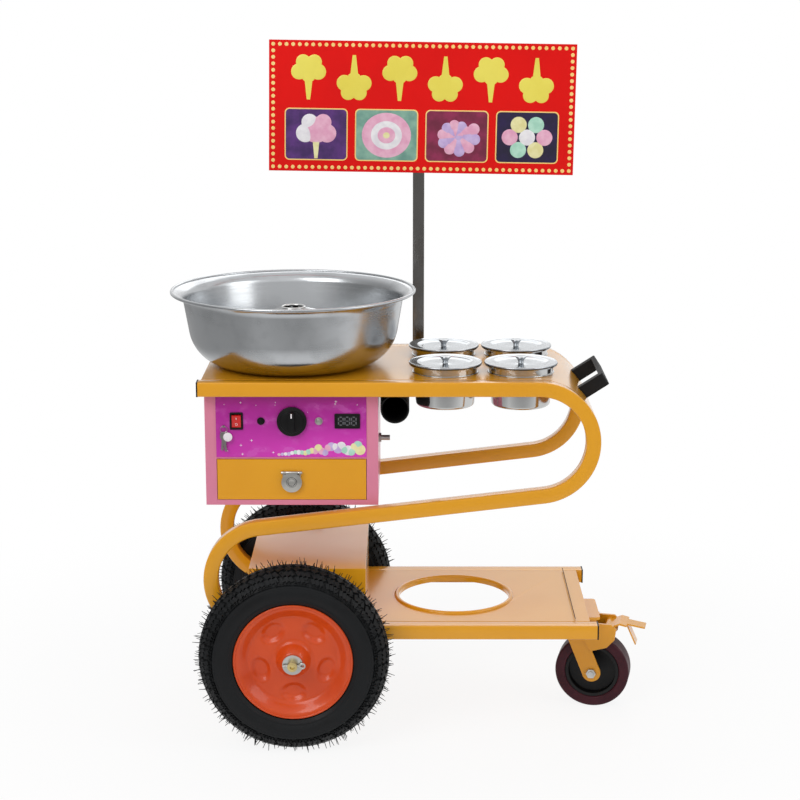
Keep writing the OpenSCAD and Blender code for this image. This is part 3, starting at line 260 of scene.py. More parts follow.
class Effects:
    """Shared surface effects, each one node group that is built once."""

    made: dict[str, bpy.types.NodeTree] = {}

    @classmethod
    def group(cls, name: str, numbers: Sequence[str],
              results: Sequence[str]) -> tuple[Graph, dict, dict] | None:
        """Starts a group unless it is there already.

        Args:
            name: the group's name.
            numbers: names of its number inputs, besides Place.
            results: names of its number outputs.

        Returns:
            The graph with its inputs and outputs, or nothing if it was built before.
        """
        if name in cls.made:
            return None
        tree = bpy.data.node_groups.new(name, "ShaderNodeTree")
        cls.made[name] = tree
        tree.interface.new_socket("Place", in_out="INPUT", socket_type="NodeSocketVector")
        for label in numbers:
            tree.interface.new_socket(label, in_out="INPUT", socket_type="NodeSocketFloat")
        for label in results:
            tree.interface.new_socket(label, in_out="OUTPUT", socket_type="NodeSocketFloat")
        graph = Graph(tree)
        return graph, graph.add("NodeGroupInput").outputs, graph.add("NodeGroupOutput").inputs

    @classmethod
    def grain(cls) -> bpy.types.NodeTree:
        """Fine grain and broad mottling, for paint, plastic and rubber.

        Returns:
            The group.
        """
        start = cls.group("surface_grain", ["Grain Scale", "Mottle Scale"], ["Grain", "Mottle"])
        if start:
            graph, given, result = start
            broad = graph.noise(given["Place"], given["Mottle Scale"], 4.0)
            graph.feed(result["Grain"], graph.noise(given["Place"], given["Grain Scale"], 1.0))
            graph.feed(result["Mottle"], graph.span(broad, 0.32, 0.68, 0.0, 1.0))
        return cls.made["surface_grain"]

    @classmethod
    def spun(cls) -> bpy.types.NodeTree:
        """Lines of the spinning lathe round an upright axis, and finger smudges.

        Returns:
            The group.
        """
        start = cls.group("spun_lines", ["Line Scale"], ["Lines", "Smudge"])
        if start:
            graph, given, result = start
            parts = graph.split(given["Place"])
            squares = [graph.math("MULTIPLY", part, part) for part in (parts[0], parts[1])]
            radius = graph.math("SQRT", graph.math("ADD", *squares))
            across = graph.add("ShaderNodeCombineXYZ", {0: radius, 2: parts[2]}).outputs[0]
            graph.feed(result["Lines"], graph.noise(across, given["Line Scale"], 3.0))
            smudge = graph.noise(given["Place"], 14.0, 5.0)
            graph.feed(result["Smudge"], graph.span(smudge, 0.45, 0.7, 0.0, 1.0))
        return cls.made["spun_lines"]


def new_material(name: str) -> tuple[bpy.types.Material, Graph, bpy.types.Node]:
    """Starts a material with one shader.

    Args:
        name: the finish's name.

    Returns:
        The material, its graph and its Principled shader.
    """
    material = bpy.data.materials.new(name)
    material.use_nodes = True
    graph = Graph(material.node_tree)
    return material, graph, material.node_tree.nodes["Principled BSDF"]


@dataclass(frozen=True)
class Coating:
    """Paint, plastic or rubber with a grain and a mottled tone."""

    name: str
    colour: Colour
    shade: Colour
    roughness: float
    spread: float = 0.1
    coat: float = 0.0
    grain_scale: float = 700.0
    grain_height: float = 0.02
    mottle_scale: float = 7.0
    metallic: float = 0.0
    gloss: float = 0.5
    coat_rough: float = 0.06
    coat_ior: float = 1.5
    grain_bump: float = 0.35

    def material(self) -> bpy.types.Material:
        """Builds the material.

        Returns:
            The material.
        """
        material, graph, shader = new_material(self.name)
        effect = graph.add("ShaderNodeGroup", {
            "Place": graph.place(),
            "Grain Scale": self.grain_scale,
            "Mottle Scale": self.mottle_scale,
        }, node_tree=Effects.grain())
        mottle = effect.outputs["Mottle"]
        graph.fill(shader, {
            "Base Color": graph.mix(mottle, self.colour, self.shade),
            "Roughness": graph.span(mottle, 0.0, 1.0, self.roughness, self.roughness + self.spread),
            "Normal": graph.bump(effect.outputs["Grain"], self.grain_bump, 10 * self.grain_height * MM),
            "Metallic": self.metallic,
            "Specular IOR Level": self.gloss,
            "Coat Weight": self.coat,
            "Coat Roughness": self.coat_rough,
            "Coat IOR": self.coat_ior,
        })
        return material


@dataclass(frozen=True)
class SpunSteel:
    """Polished steel with lathe lines round an upright axis."""

    name: str
    centre: Point3
    colour: Colour = (0.54, 0.545, 0.54, 1.0)
    roughness: float = 0.10
    line_scale: float = 420.0
    line_depth: float = 0.05
    line_bump: float = 0.12
    line_rough: float = 0.07
    smudge_rough: float = 0.06
    smudge_tone: float = 0.86
    streak: float = 0.0

    def material(self) -> bpy.types.Material:
        """Builds the material.

        Returns:
            The material.
        """
        material, graph, shader = new_material(self.name)
        place = graph.place(self.centre)
        effect = graph.add("ShaderNodeGroup", {"Place": place, "Line Scale": self.line_scale},
                           node_tree=Effects.spun())
        lines, smudge = effect.outputs["Lines"], effect.outputs["Smudge"]
        turned_rough = graph.span(lines, 0.3, 0.7, self.roughness, self.roughness + self.line_rough)
        dull = tuple(self.smudge_tone * part for part in self.colour[:3]) + (1.0,)
        round_axis = graph.add("ShaderNodeVectorMath", {0: (0, 0, 1), 1: place}, operation="CROSS_PRODUCT")
        graph.fill(shader, {
            "Base Color": graph.mix(smudge, self.colour, dull),
            "Roughness": graph.math("ADD", turned_rough, graph.math("MULTIPLY", smudge, self.smudge_rough)),
            "Normal": graph.bump(lines, self.line_bump, self.line_depth * MM),
            "Tangent": round_axis.outputs[0],
            "Anisotropic": self.streak,
            "Metallic": 1.0,
        })
        return material


@dataclass(frozen=True)
class PanelPrint:
    """Magenta panel with a soft gradient and small sparkles."""

    name: str
    low: Vector
    high: Vector
    deep: Colour = tint(172, 30, 148)
    bright: Colour = tint(216, 60, 186)
    mist: Colour = tint(214, 104, 200)
    sparkle: Colour = tint(250, 226, 246)
    mist_scale: float = 22.0
    mist_most: float = 0.35
    sparkle_scale: float = 95.0
    patch_scale: float = 60.0

    def material(self) -> bpy.types.Material:
        """Builds the material.

        Returns:
            The material.
        """
        material, graph, shader = new_material(self.name)
        place = graph.place(self.low)
        parts = graph.split(place)
        across = graph.math("DIVIDE", parts[0], self.high.x - self.low.x, clamp=True)
        rise = graph.math("DIVIDE", parts[2], self.high.z - self.low.z, clamp=True)
        glow = graph.math("MULTIPLY", graph.span(rise, 0.75, 0.05, 0.0, 1.0),
                          graph.span(across, 0.0, 0.75, 0.55, 1.0))
        clouds = graph.noise(graph.place(self.low, (1, 1, 1.6)), self.mist_scale, 3.0)
        veil = graph.span(clouds, 0.5, 0.72, 0.0, self.mist_most)
        cells = graph.add("ShaderNodeTexVoronoi", {"Vector": place, "Scale": self.sparkle_scale})
        spark = graph.span(cells.outputs["Distance"], 0.10, 0.03, 0.0, 1.0)
        some = graph.span(graph.noise(place, self.patch_scale), 0.56, 0.62, 0.0, 1.0)
        base = graph.mix(veil, graph.mix(glow, self.deep, self.bright), self.mist)
        graph.fill(shader, {
            "Base Color": graph.mix(graph.math("MULTIPLY", spark, some), base, self.sparkle),
            "Roughness": graph.span(veil, 0.0, self.mist_most, 0.22, 0.3),
            "Coat Weight": 0.1,
            "Coat Roughness": 0.08,
        })
        return material


def family(prefix: str, rows: Iterable[tuple], roughness: float, spread: float,
           mottle_scale: float) -> tuple[Coating, ...]:
    """Print colours that share all but their tones.

    Args:
        prefix: start of their names.
        rows: name, tone and deeper tone of each.
        roughness: their roughness.
        spread: how far it varies.
        mottle_scale: scale of their mottling.

    Returns:
        The finishes in order.
    """
    return tuple(Coating(prefix + name, tint(*tone), tint(*deep), roughness, spread, mottle_scale=mottle_scale)
                 for name, tone, deep in rows)


YELLOW = Coating(
    "yellow_enamel", tint(230, 162, 31), tint(226, 157, 28), 0.3, 0.05, coat=1.0, grain_scale=260.0,
    grain_height=0.004, mottle_scale=4.0, gloss=0.15, coat_rough=0.15, coat_ior=1.4)
PINK = Coating(
    "pink_enamel", tint(222, 132, 160), tint(217, 127, 155), 0.32, 0.05, coat=0.25, grain_scale=260.0,
    grain_height=0.004, mottle_scale=4.0)
RIM_RED = Coating(
    "rim_enamel", tint(212, 76, 20), tint(204, 69, 17), 0.3, 0.06, coat=0.35, grain_scale=300.0,
    grain_height=0.005, mottle_scale=9.0, gloss=0.25, coat_rough=0.1)
SIGN_RED = Coating(
    "sign_red", tint(230, 18, 14), tint(223, 15, 12), 0.4, 0.06, grain_height=0.004, gloss=0.15)
BLACK = Coating(
    "black_plastic", tint(11, 11, 12), tint(16, 16, 17), 0.40, 0.1, grain_scale=1500.0, grain_height=0.02,
    gloss=0.25)
SOFT_BLACK = Coating(
    "soft_black", tint(15, 15, 16), tint(22, 22, 23), 0.55, 0.12, grain_scale=900.0, grain_height=0.05,
    gloss=0.25)
RUBBER = Coating(
    "tyre_rubber", tint(11, 12, 14), tint(18, 20, 22), 0.46, 0.16, grain_scale=1100.0, grain_height=0.05,
    mottle_scale=16.0, gloss=0.22)
MAROON = Coating(
    "maroon_tread", tint(64, 16, 30), tint(52, 13, 24), 0.42, 0.14, grain_scale=800.0, mottle_scale=20.0,
    gloss=0.25)
SWITCH_RED = Coating("switch_red", tint(206, 26, 26), tint(190, 20, 20), 0.25, 0.08, grain_height=0.005)
ZINC = Coating(
    "bright_zinc", (0.56, 0.56, 0.54, 1.0), (0.47, 0.47, 0.45, 1.0), 0.28, 0.14, metallic=1.0,
    grain_scale=1300.0, grain_height=0.01, mottle_scale=45.0)
GOLD_ZINC = Coating(
    "gold_zinc", (0.66, 0.52, 0.22, 1.0), (0.56, 0.44, 0.20, 1.0), 0.26, 0.14, metallic=1.0,
    grain_scale=1300.0, grain_height=0.01, mottle_scale=60.0)
BRASS = Coating(
    "brass", (0.76, 0.58, 0.26, 1.0), (0.66, 0.49, 0.2, 1.0), 0.24, 0.12, metallic=1.0, grain_height=0.01,
    mottle_scale=50.0)
POLE_STEEL = Coating(
    "pole_steel", (0.27, 0.26, 0.25, 1.0), (0.21, 0.20, 0.19, 1.0), 0.18, 0.1, metallic=1.0,
    grain_scale=600.0, grain_height=0.006, mottle_scale=30.0)
LATCH_STEEL = Coating(
    "latch_steel", (0.56, 0.55, 0.52, 1.0), (0.51, 0.50, 0.47, 1.0), 0.32, 0.05, metallic=1.0,
    grain_scale=900.0, grain_height=0.006, mottle_scale=40.0)
# Dark yellow-brown for the painted shade in the gap where the tray meets the end tube.
SEAM_SHADE = Coating("seam_gap_shade", tint(70, 42, 10), tint(58, 34, 8), 0.6, 0.1, gloss=0.1)
# Near-black steel for painted shade: the dark rings at the lid edges and round the latch's button stand in for
# reflection and shade.
PAINTED_SHADE_STEEL = Coating(
    "painted_shade_steel", (0.10, 0.10, 0.105, 1.0), (0.07, 0.07, 0.075, 1.0), 0.22, 0.08, metallic=1.0,
    grain_scale=900.0, grain_height=0.004, mottle_scale=60.0)
KEY_STEEL = Coating(
    "key_steel", (0.40, 0.37, 0.36, 1.0), (0.30, 0.28, 0.28, 1.0), 0.3, 0.12, metallic=1.0,
    grain_scale=900.0, grain_height=0.006, mottle_scale=120.0)
WHITE_PRINT = Coating("white_print", tint(238, 232, 236), tint(230, 222, 228), 0.35, 0.1, grain_height=0.005)
CREAM = Coating("cream_print", tint(255, 222, 142), tint(252, 212, 120), 0.3, 0.1, grain_height=0.005)
YELLOW_PRINT = Coating("yellow_print", tint(240, 226, 96), tint(234, 216, 80), 0.3, 0.1, grain_height=0.005)
DIM_DIGIT = Coating("dim_digit", tint(96, 98, 102), tint(88, 90, 94), 0.5, 0.1, grain_height=0.005)
PASTELS = family("puff_", (
    ("pink", (236, 184, 206), (226, 160, 190)),
    ("mint", (186, 228, 208), (162, 212, 190)),
    ("lilac", (206, 184, 226), (186, 160, 212)),
    ("lemon", (238, 232, 178), (226, 218, 152)),
    ("white", (240, 238, 240), (226, 222, 228)),
), 0.5, 0.2, 60.0)
TILE_GROUNDS = family("tile_", (
    ("violet", (96, 50, 128), (62, 30, 92)),
    ("teal", (142, 184, 164), (104, 150, 138)),
    ("rose", (150, 40, 84), (112, 24, 58)),
    ("night", (40, 24, 74), (24, 14, 48)),
), 0.4, 0.15, 30.0)


class Finishes:
    """Hands out each finish's material, built once."""

    made: dict[str, bpy.types.Material] = {}

    @classmethod
    def get(cls, finish: Coating | SpunSteel | PanelPrint) -> bpy.types.Material:
        """The material of a finish.

        Args:
            finish: the finish.

        Returns:
            Its material.
        """
        if finish.name not in cls.made:
            cls.made[finish.name] = finish.material()
        return cls.made[finish.name]


class Form:
    """A mesh being shaped in millimetres, then placed on the cart."""

    def __init__(self) -> None:
        """Starts an empty mesh."""
        self.bm = bmesh.new()

    def lathe(self, outline: Sequence[Point2], steps: int = 128, closed: bool = True) -> None:
        """Turns an outline round the upright axis.

        Args:
            outline: radius and height of each point.
            steps: faces round the turn.
            closed: joins the last point to the first.
        """
        verts = [self.bm.verts.new((r, 0.0, z)) for r, z in outline]
        pairs = list(zip(verts, verts[1:]))
        if closed:
            pairs.append((verts[-1], verts[0]))
        edges = [self.bm.edges.new(pair) for pair in pairs]
        bmesh.ops.spin(self.bm, geom=verts + edges, cent=(0, 0, 0), axis=(0, 0, 1), dvec=(0, 0, 0),
                       angle=FULL_TURN, steps=steps, use_merge=True, use_duplicate=False)

    def block(self, size: Point3, where: Matrix, bevel: float = 0.0, segments: int = 2) -> list:
        """Adds a box.

        Args:
            size: its lengths along its own axes.
            where: its place and turn, in millimetres.
            bevel: width of its rounded edges.
            segments: faces across a rounded edge.

        Returns:
            The box's vertices, if its edges are sharp.
        """
        stretched = where @ Matrix.Diagonal((*size, 1.0))
        made = bmesh.ops.create_cube(self.bm, size=1.0, matrix=stretched)["verts"]
        if bevel:
            edges = {edge for vert in made for edge in vert.link_edges}
            bmesh.ops.bevel(self.bm, geom=list(edges), offset=bevel, offset_type="OFFSET", segments=segments,
                            profile=0.5, affect="EDGES", clamp_overlap=True, material=-1)
            return []
        return made

    def disc(self, radius: float, thick: float, where: Matrix, steps: int = 32,
             top: float | None = None) -> None:
        """Adds a round plate or a short cone.

        Args:
            radius: radius of its lower face.
            thick: its height.
            where: its place and turn.
            steps: faces round it.
            top: radius of its upper face.
        """
        bmesh.ops.create_cone(self.bm, cap_ends=True, cap_tris=False, segments=steps, radius1=radius,
                              radius2=radius if top is None else top, depth=thick, matrix=where)

    def ball(self, radii: Point3, where: Matrix, steps: int = 24) -> None:
        """Adds a stretched ball."""
        bmesh.ops.create_uvsphere(self.bm, u_segments=steps, v_segments=steps // 2, radius=1.0,
                                  matrix=where @ Matrix.Diagonal((*radii, 1.0)))

    def ring(self, radius: float, wire: float, where: Matrix, steps: int = 48, sides: int = 10) -> None:
        """Adds a round ring of wire.

        Args:
            radius: radius of the wire's middle.
            wire: radius of the wire.
            where: its place and turn.
            steps: faces round the ring.
            sides: faces round the wire.
        """
        self.take(turned(circle((radius, 0.0), wire, sides), steps), where)

    def prism(self, outline: Sequence[Point2], thick: float, where: Matrix) -> None:
        """Adds a flat plate.

        Args:
            outline: its corners in order.
            thick: its thickness, along its third axis.
            where: its place and turn.
        """
        made = Form()
        face = made.bm.faces.new([made.bm.verts.new((x, y, 0.0)) for x, y in outline])
        grown = bmesh.ops.extrude_face_region(made.bm, geom=[face], use_keep_orig=True)["geom"]
        top = [part for part in grown if isinstance(part, bmesh.types.BMVert)]
        bmesh.ops.translate(made.bm, verts=top, vec=(0, 0, thick))
        made.tidy()
        self.take(made, where)

    def take(self, other: Form, where: Matrix) -> None:
        """Adds another form at a place, and ends that form.

        Args:
            other: the form that is added.
            where: its place and turn.
        """
        bmesh.ops.transform(other.bm, matrix=where, verts=other.bm.verts)
        carried = bpy.data.meshes.new("carried")
        other.bm.to_mesh(carried)
        other.bm.free()
        self.bm.from_mesh(carried)
        bpy.data.meshes.remove(carried)

    def tidy(self) -> None:
        """Closes poles and seams and turns the faces outward."""
        bmesh.ops.remove_doubles(self.bm, verts=self.bm.verts, dist=1e-4)
        bmesh.ops.dissolve_degenerate(self.bm, dist=1e-5, edges=self.bm.edges)
        bmesh.ops.recalc_face_normals(self.bm, faces=self.bm.faces)

    def settle(self, where: Matrix) -> None:
        """Moves the form from millimetres to its place on the cart."""
        bmesh.ops.transform(self.bm, matrix=where @ Matrix.Scale(MM, 4), verts=self.bm.verts)


def turned(outline: Sequence[Point2], steps: int, closed: bool = True) -> Form:
    """A form turned from one outline.

    Args:
        outline: radius and height of each point.
        steps: faces round the turn.
        closed: joins the last point to the first.

    Returns:
        The form, closed and turned outward.
    """
    form = Form()
    form.lathe(outline, steps, closed)
    form.tidy()
    return form


def finish_piece(name: str, form: Form, coat: object, body: str, stands_for: Iterable[str] = (),
                 smooth: float = 35.0, where: Matrix | None = None) -> None:
    """Makes a piece of a form.

    Args:
        name: the piece's name.
        form: its mesh.
        coat: its finish.
        body: the body that it moves with.
        stands_for: solids that it is shown for.
        smooth: edges under this angle are shaded smooth.
        where: place of a form in millimetres, or nothing for one that is in place.
    """
    if where is not None:
        form.settle(where)
    mesh = bpy.data.meshes.new(name)
    form.bm.to_mesh(mesh)
    form.bm.free()
    mesh.materials.append(Finishes.get(coat))
    mesh.shade_smooth()
    mesh.set_sharp_from_angle(angle=math.radians(smooth))
    obj = bpy.data.objects.new(name, mesh)
    bpy.context.scene.collection.objects.link(obj)
    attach(obj, body)
    for node in stands_for:
        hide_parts(node)
    LOG.info("%s rides on %s with %d faces", name, body, len(mesh.polygons))


def place(name: str, form: Form, coat: object, body: str = "frame", slot: str = "panel_print") -> None:
    """Closes a form drawn in the cart's millimetres and makes a piece of it.

    Args:
        name: the piece's name.
        form: its mesh.
        coat: its finish.
        body: the body that it moves with.
        slot: not used.
    """
    form.tidy()
    finish_piece(name, form, coat, body, where=spot(0, 0, 0))


def body_of(node: str) -> str:
    """The body that a solid belongs to."""
    bodies = frame["record"]["behaviour"]["bodies"]
    return next(body for body, nodes in bodies.items() if node in nodes)


def refine(node: str, coat: object, edge: float = 0.6, smooth: float = 15.0, sharp: float = 38.0) -> None:
    """Shows a solid with rounded edges and smooth curves.

    Args:
        node: the solid.
        coat: its finish.
        edge: width of the rounded edges in millimetres, or nothing for sharp ones.
        smooth: edges under this angle are shaded smooth.
        sharp: edges over this angle are rounded.
    """
    form = Form()
    bm = form.bm
    bm.from_mesh(frame["nodes"][node].data)
    bmesh.ops.remove_doubles(bm, verts=bm.verts, dist=2e-6)
    bmesh.ops.dissolve_limit(bm, angle_limit=math.radians(0.5), use_dissolve_boundaries=False,
                             verts=bm.verts, edges=bm.edges, delimit=set())
    if edge:
        least = math.radians(sharp)
        edges = [e for e in bm.edges if len(e.link_faces) == 2 and e.calc_face_angle(0.0) > least]
        bmesh.ops.bevel(bm, geom=edges, offset=edge * MM, offset_type="OFFSET", segments=2, profile=0.5,
                        affect="EDGES", clamp_overlap=True, material=-1)
    finish_piece(node + "_skin", form, coat, body_of(node), [node], smooth)


def dress(node: str, coat: object) -> None:
    """Gives a solid that is shown as it is its finish.

    Args:
        node: the solid.
        coat: its finish.
    """
    obj = frame["nodes"][node]
    if not obj.material_slots:
        obj.data.materials.append(Finishes.get(coat))
    for slot in obj.material_slots:
        slot.material = Finishes.get(coat)


def arc(centre: Point2, radius: float, start: float, end: float, steps: int = 12) -> list[Point2]:
    """Points along an arc.

    Args:
        centre: its middle.
        radius: its radius.
        start: first angle in degrees.
        end: last angle in degrees.
        steps: parts that it is cut into.

    Returns:
        The points in order.
    """
    angles = [math.radians(start + (end - start) * i / steps) for i in range(steps + 1)]
    return [(centre[0] + radius * math.cos(a), centre[1] + radius * math.sin(a)) for a in angles]


def circle(centre: Point2, radius: float, steps: int) -> list[Point2]:
    """Points round a circle.

    Args:
        centre: its middle.
        radius: its radius.
        steps: points round it.

    Returns:
        The points in order, none of them twice.
    """
    angles = [FULL_TURN * i / steps for i in range(steps)]
    return [(centre[0] + radius * math.cos(a), centre[1] + radius * math.sin(a)) for a in angles]


def round_box(width: float, height: float, radius: float, steps: int = 6) -> list[Point2]:
    """Corners of a rectangle with round corners, about its middle.

    Args:
        width: its width.
        height: its height.
        radius: radius of its corners.
        steps: parts of each corner.

    Returns:
        The points in order.
    """
    x, y = width / 2 - radius, height / 2 - radius
    return (arc((x, y), radius, 0, 90, steps) + arc((-x, y), radius, 90, 180, steps)
            + arc((-x, -y), radius, 180, 270, steps) + arc((x, -y), radius, 270, 360, steps))


def spot(x: float, y: float, z: float) -> Matrix:
    """The move from the origin to a place on the cart, given as for at."""
    return Matrix.Translation(at(x, y, z))


def shift(x: float = 0.0, y: float = 0.0, z: float = 0.0) -> Matrix:
    """A move."""
    return Matrix.Translation((x, y, z))


def turn(angle: float, axis: str) -> Matrix:
    """A turn in degrees about X, Y or Z."""
    return Matrix.Rotation(math.radians(angle), 4, axis)


def widen(share: float) -> Matrix:
    """A stretch along the first two axes."""
    return Matrix.Diagonal((share, share, 1.0, 1.0))


@dataclass
class SideRails:
    """The pair of bent square tubes, in millimetres."""

    tube: float = 30.0
    corner: float = 3.0
    bend: float = 112.0
    slope: float = 6.765
    mid_y: float = 188.0
    right: Point2 = (693.0, 632.0)
    left: Point2 = (133.0, 340.0)
    start_x: float = 3.0
    end_x: float = 821.0
    bend_steps: int = 48

    def build(self) -> None:
        """Sweeps the rounded square along the runs and bends of both rails."""
        for side in Side:
            form = Form()
            bm = form.bm
            top = self.right[1] + self.bend
            ring = [bm.verts.new((self.start_x, side.value * self.mid_y + y, top + z))
                    for y, z in round_box(self.tube, self.tube, self.corner, 3)]
            loop = [bm.edges.new((ring[i - 1], ring[i])) for i in range(len(ring))]
            bmesh.ops.edgeloop_fill(bm, edges=loop)
            loop = self.run(bm, loop, (self.right[0] - self.start_x, 0, 0))
            loop = self.curve(bm, loop, self.right, 180.0 - self.slope)
            rise = math.radians(self.slope)
            length = self.mid_length()
            loop = self.run(bm, loop, (-length * math.cos(rise), 0, -length * math.sin(rise)))
            loop = self.curve(bm, loop, self.left, self.slope - 180.0)
            loop = self.run(bm, loop, (self.end_x - self.left[0], 0, 0))
            bmesh.ops.edgeloop_fill(bm, edges=loop)
            form.tidy()
            node = side.word + "_rail"
            finish_piece(node + "_tube", form, YELLOW, "frame", [node], 30.0, spot(0, 0, 0))

    def mid_length(self) -> float:
        """Length of the sloping run, which is tangent to both bends."""
        across = Vector(self.right) - Vector(self.left)
        return math.sqrt(across.length_squared - 4 * self.bend ** 2)

    @staticmethod
    def run(bm: bmesh.types.BMesh, loop: list, step: Point3) -> list:
        """Draws a straight run.

        Args:
            bm: the mesh.
            loop: edges of the last ring.
            step: how far the run goes.

        Returns:
            Edges of the new ring.
        """
        made = bmesh.ops.extrude_edge_only(bm, edges=loop)["geom"]
        verts = [part for part in made if isinstance(part, bmesh.types.BMVert)]
        bmesh.ops.translate(bm, verts=verts, vec=step)
        ends = set(verts)
        return [part for part in made if isinstance(part, bmesh.types.BMEdge) and set(part.verts) <= ends]

    def curve(self, bm: bmesh.types.BMesh, loop: list, centre: Point2, angle: float) -> list:
        """Draws a bend.

        Args:
            bm: the mesh.
            loop: edges of the last ring.
            centre: the bend's middle.
            angle: degrees turned.

        Returns:
            Edges of the new ring.
        """
        verts = list({v for e in loop for v in e.verts})
        made = bmesh.ops.spin(bm, geom=verts + loop, cent=(centre[0], 0, centre[1]), axis=(0, 1, 0),
                              dvec=(0, 0, 0), angle=math.radians(angle), steps=self.bend_steps,
                              use_merge=False, use_duplicate=False)
        return [part for part in made["geom_last"] if isinstance(part, bmesh.types.BMEdge)]


@dataclass
class Sheetwork:
    """Folded sheet pieces and small welded parts of the body."""

    rounded: tuple[tuple[str, Coating, float], ...] = (
        ("machine_top", YELLOW, 0.8), ("canister_top", YELLOW, 0.8), ("lower_tray", YELLOW, 0.8),
        ("battery_hood", YELLOW, 0.8), ("cross_tubes", YELLOW, 0.8), ("frame_brackets", YELLOW, 0.8),
        ("drawer_front", YELLOW, 0.8), ("control_box", PINK, 0.7), ("push_handle", SOFT_BLACK, 1.2),
        ("stick_tube", SOFT_BLACK, 0.6), ("sign_pole", POLE_STEEL, 1.5),
    )
    plain: dict[str, Coating] = field(default_factory=lambda: {
        "rail_plugs": BLACK, "gas_inlet": ZINC, "gas_line": BRASS, "burner": ZINC, "spindle_housing": ZINC,
        "drive_motor": ZINC, "drive_belt": SOFT_BLACK, "drawer_runners": ZINC, "drawer_tray": ZINC,
        "axle": GOLD_ZINC, "axle_fittings": ZINC, "spindle": ZINC, "motor_pulley": ZINC,
        "battery": BLACK, "valve_stem": BRASS,
    })
    # Width and thickness of the painted shade strip in the tray's seam.
    gap: Point2 = (1.6, 0.4)

    def build(self) -> None:
        """Rounds the edges of sheets and tubes and dresses the inner parts."""
        for node, coat, edge in self.rounded:
            refine(node, coat, edge)
        for node, coat in self.plain.items():
            dress(node, coat)
        self.seam_shade()

    def seam_shade(self) -> None:
        """A dark strip where the tray's sheet meets the end tube: painted shade in the gap between them."""
        low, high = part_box("lower_tray")
        wide, thick = self.gap
        form = Form()
        form.block((wide, (high.y - low.y) / MM, thick), shift())
        middle = shift(high.x - wide / 2 * MM, (low.y + high.y) / 2, high.z + thick / 4 * MM)
        finish_piece("tray_seam_shade", form, SEAM_SHADE, "frame", where=middle)


@dataclass
class SpinningBowl:
    """The steel bowl and the head that spins in it, in millimetres."""

    centre_x: float = 187.0
    deck: float = 759.0
    hole: float = 100.0
    collar: float = 10.0
    base: float = 135.0
    corner: float = 85.0
    lean: float = 10.0
    wall_top: float = 131.0
    rim: float = 257.0
    sheet: float = 1.5
    roll: float = 3.5
    steps: int = 192
    bowl_tone: Colour = (0.47, 0.485, 0.50, 1.0)
    burnt_tone: Colour = (0.05, 0.048, 0.046, 1.0)

    def profile(self, inset: float) -> list[Point2]:
        """One face of the bowl from the collar to the rim.

        Args:
            inset: distance of the face from the outer face.

        Returns:
            Radius and height of its points.
        """
        wall = self.hole + inset
        points = [(wall, self.collar), (wall, inset + 2.0), (wall + 2.0, inset)]
        points += arc((self.base, self.corner), self.corner - inset, -90, -self.lean, 24)
        foot_r, foot_z = points[-1]
        lean = math.tan(math.radians(self.lean))
        head = (foot_r + (self.wall_top - foot_z) * lean, self.wall_top)
        reach = self.rim - self.roll - head[0]
        return points + arc((head[0] + reach, head[1] - inset), reach, 180 - self.lean, 90, 14)

    def build(self) -> None:
        """Turns the bowl and shows the head with smooth curves."""
        axis = tuple(at(self.centre_x, 0, 0))
        steel = SpunSteel("bowl_steel", axis, self.bowl_tone, 0.17, streak=0.6)
        form = Form()
        outer, inner = self.profile(0.0), self.profile(self.sheet)
        form.lathe(outer + inner[::-1], self.steps)
        form.lathe(circle((self.rim - self.roll, outer[-1][1]), self.roll, 16), self.steps)
        form.tidy()
        middle = spot(self.centre_x, 0, self.deck)
        finish_piece("bowl_shell", form, steel, "bowl", ["bowl"], 40.0, middle)
        refine("spinner_base", SpunSteel("burnt_steel", axis, self.burnt_tone, 0.3), 0.0, 30.0)
        refine("spinner_cover", SpunSteel("head_steel", axis, roughness=0.2), 0.0, 40.0)


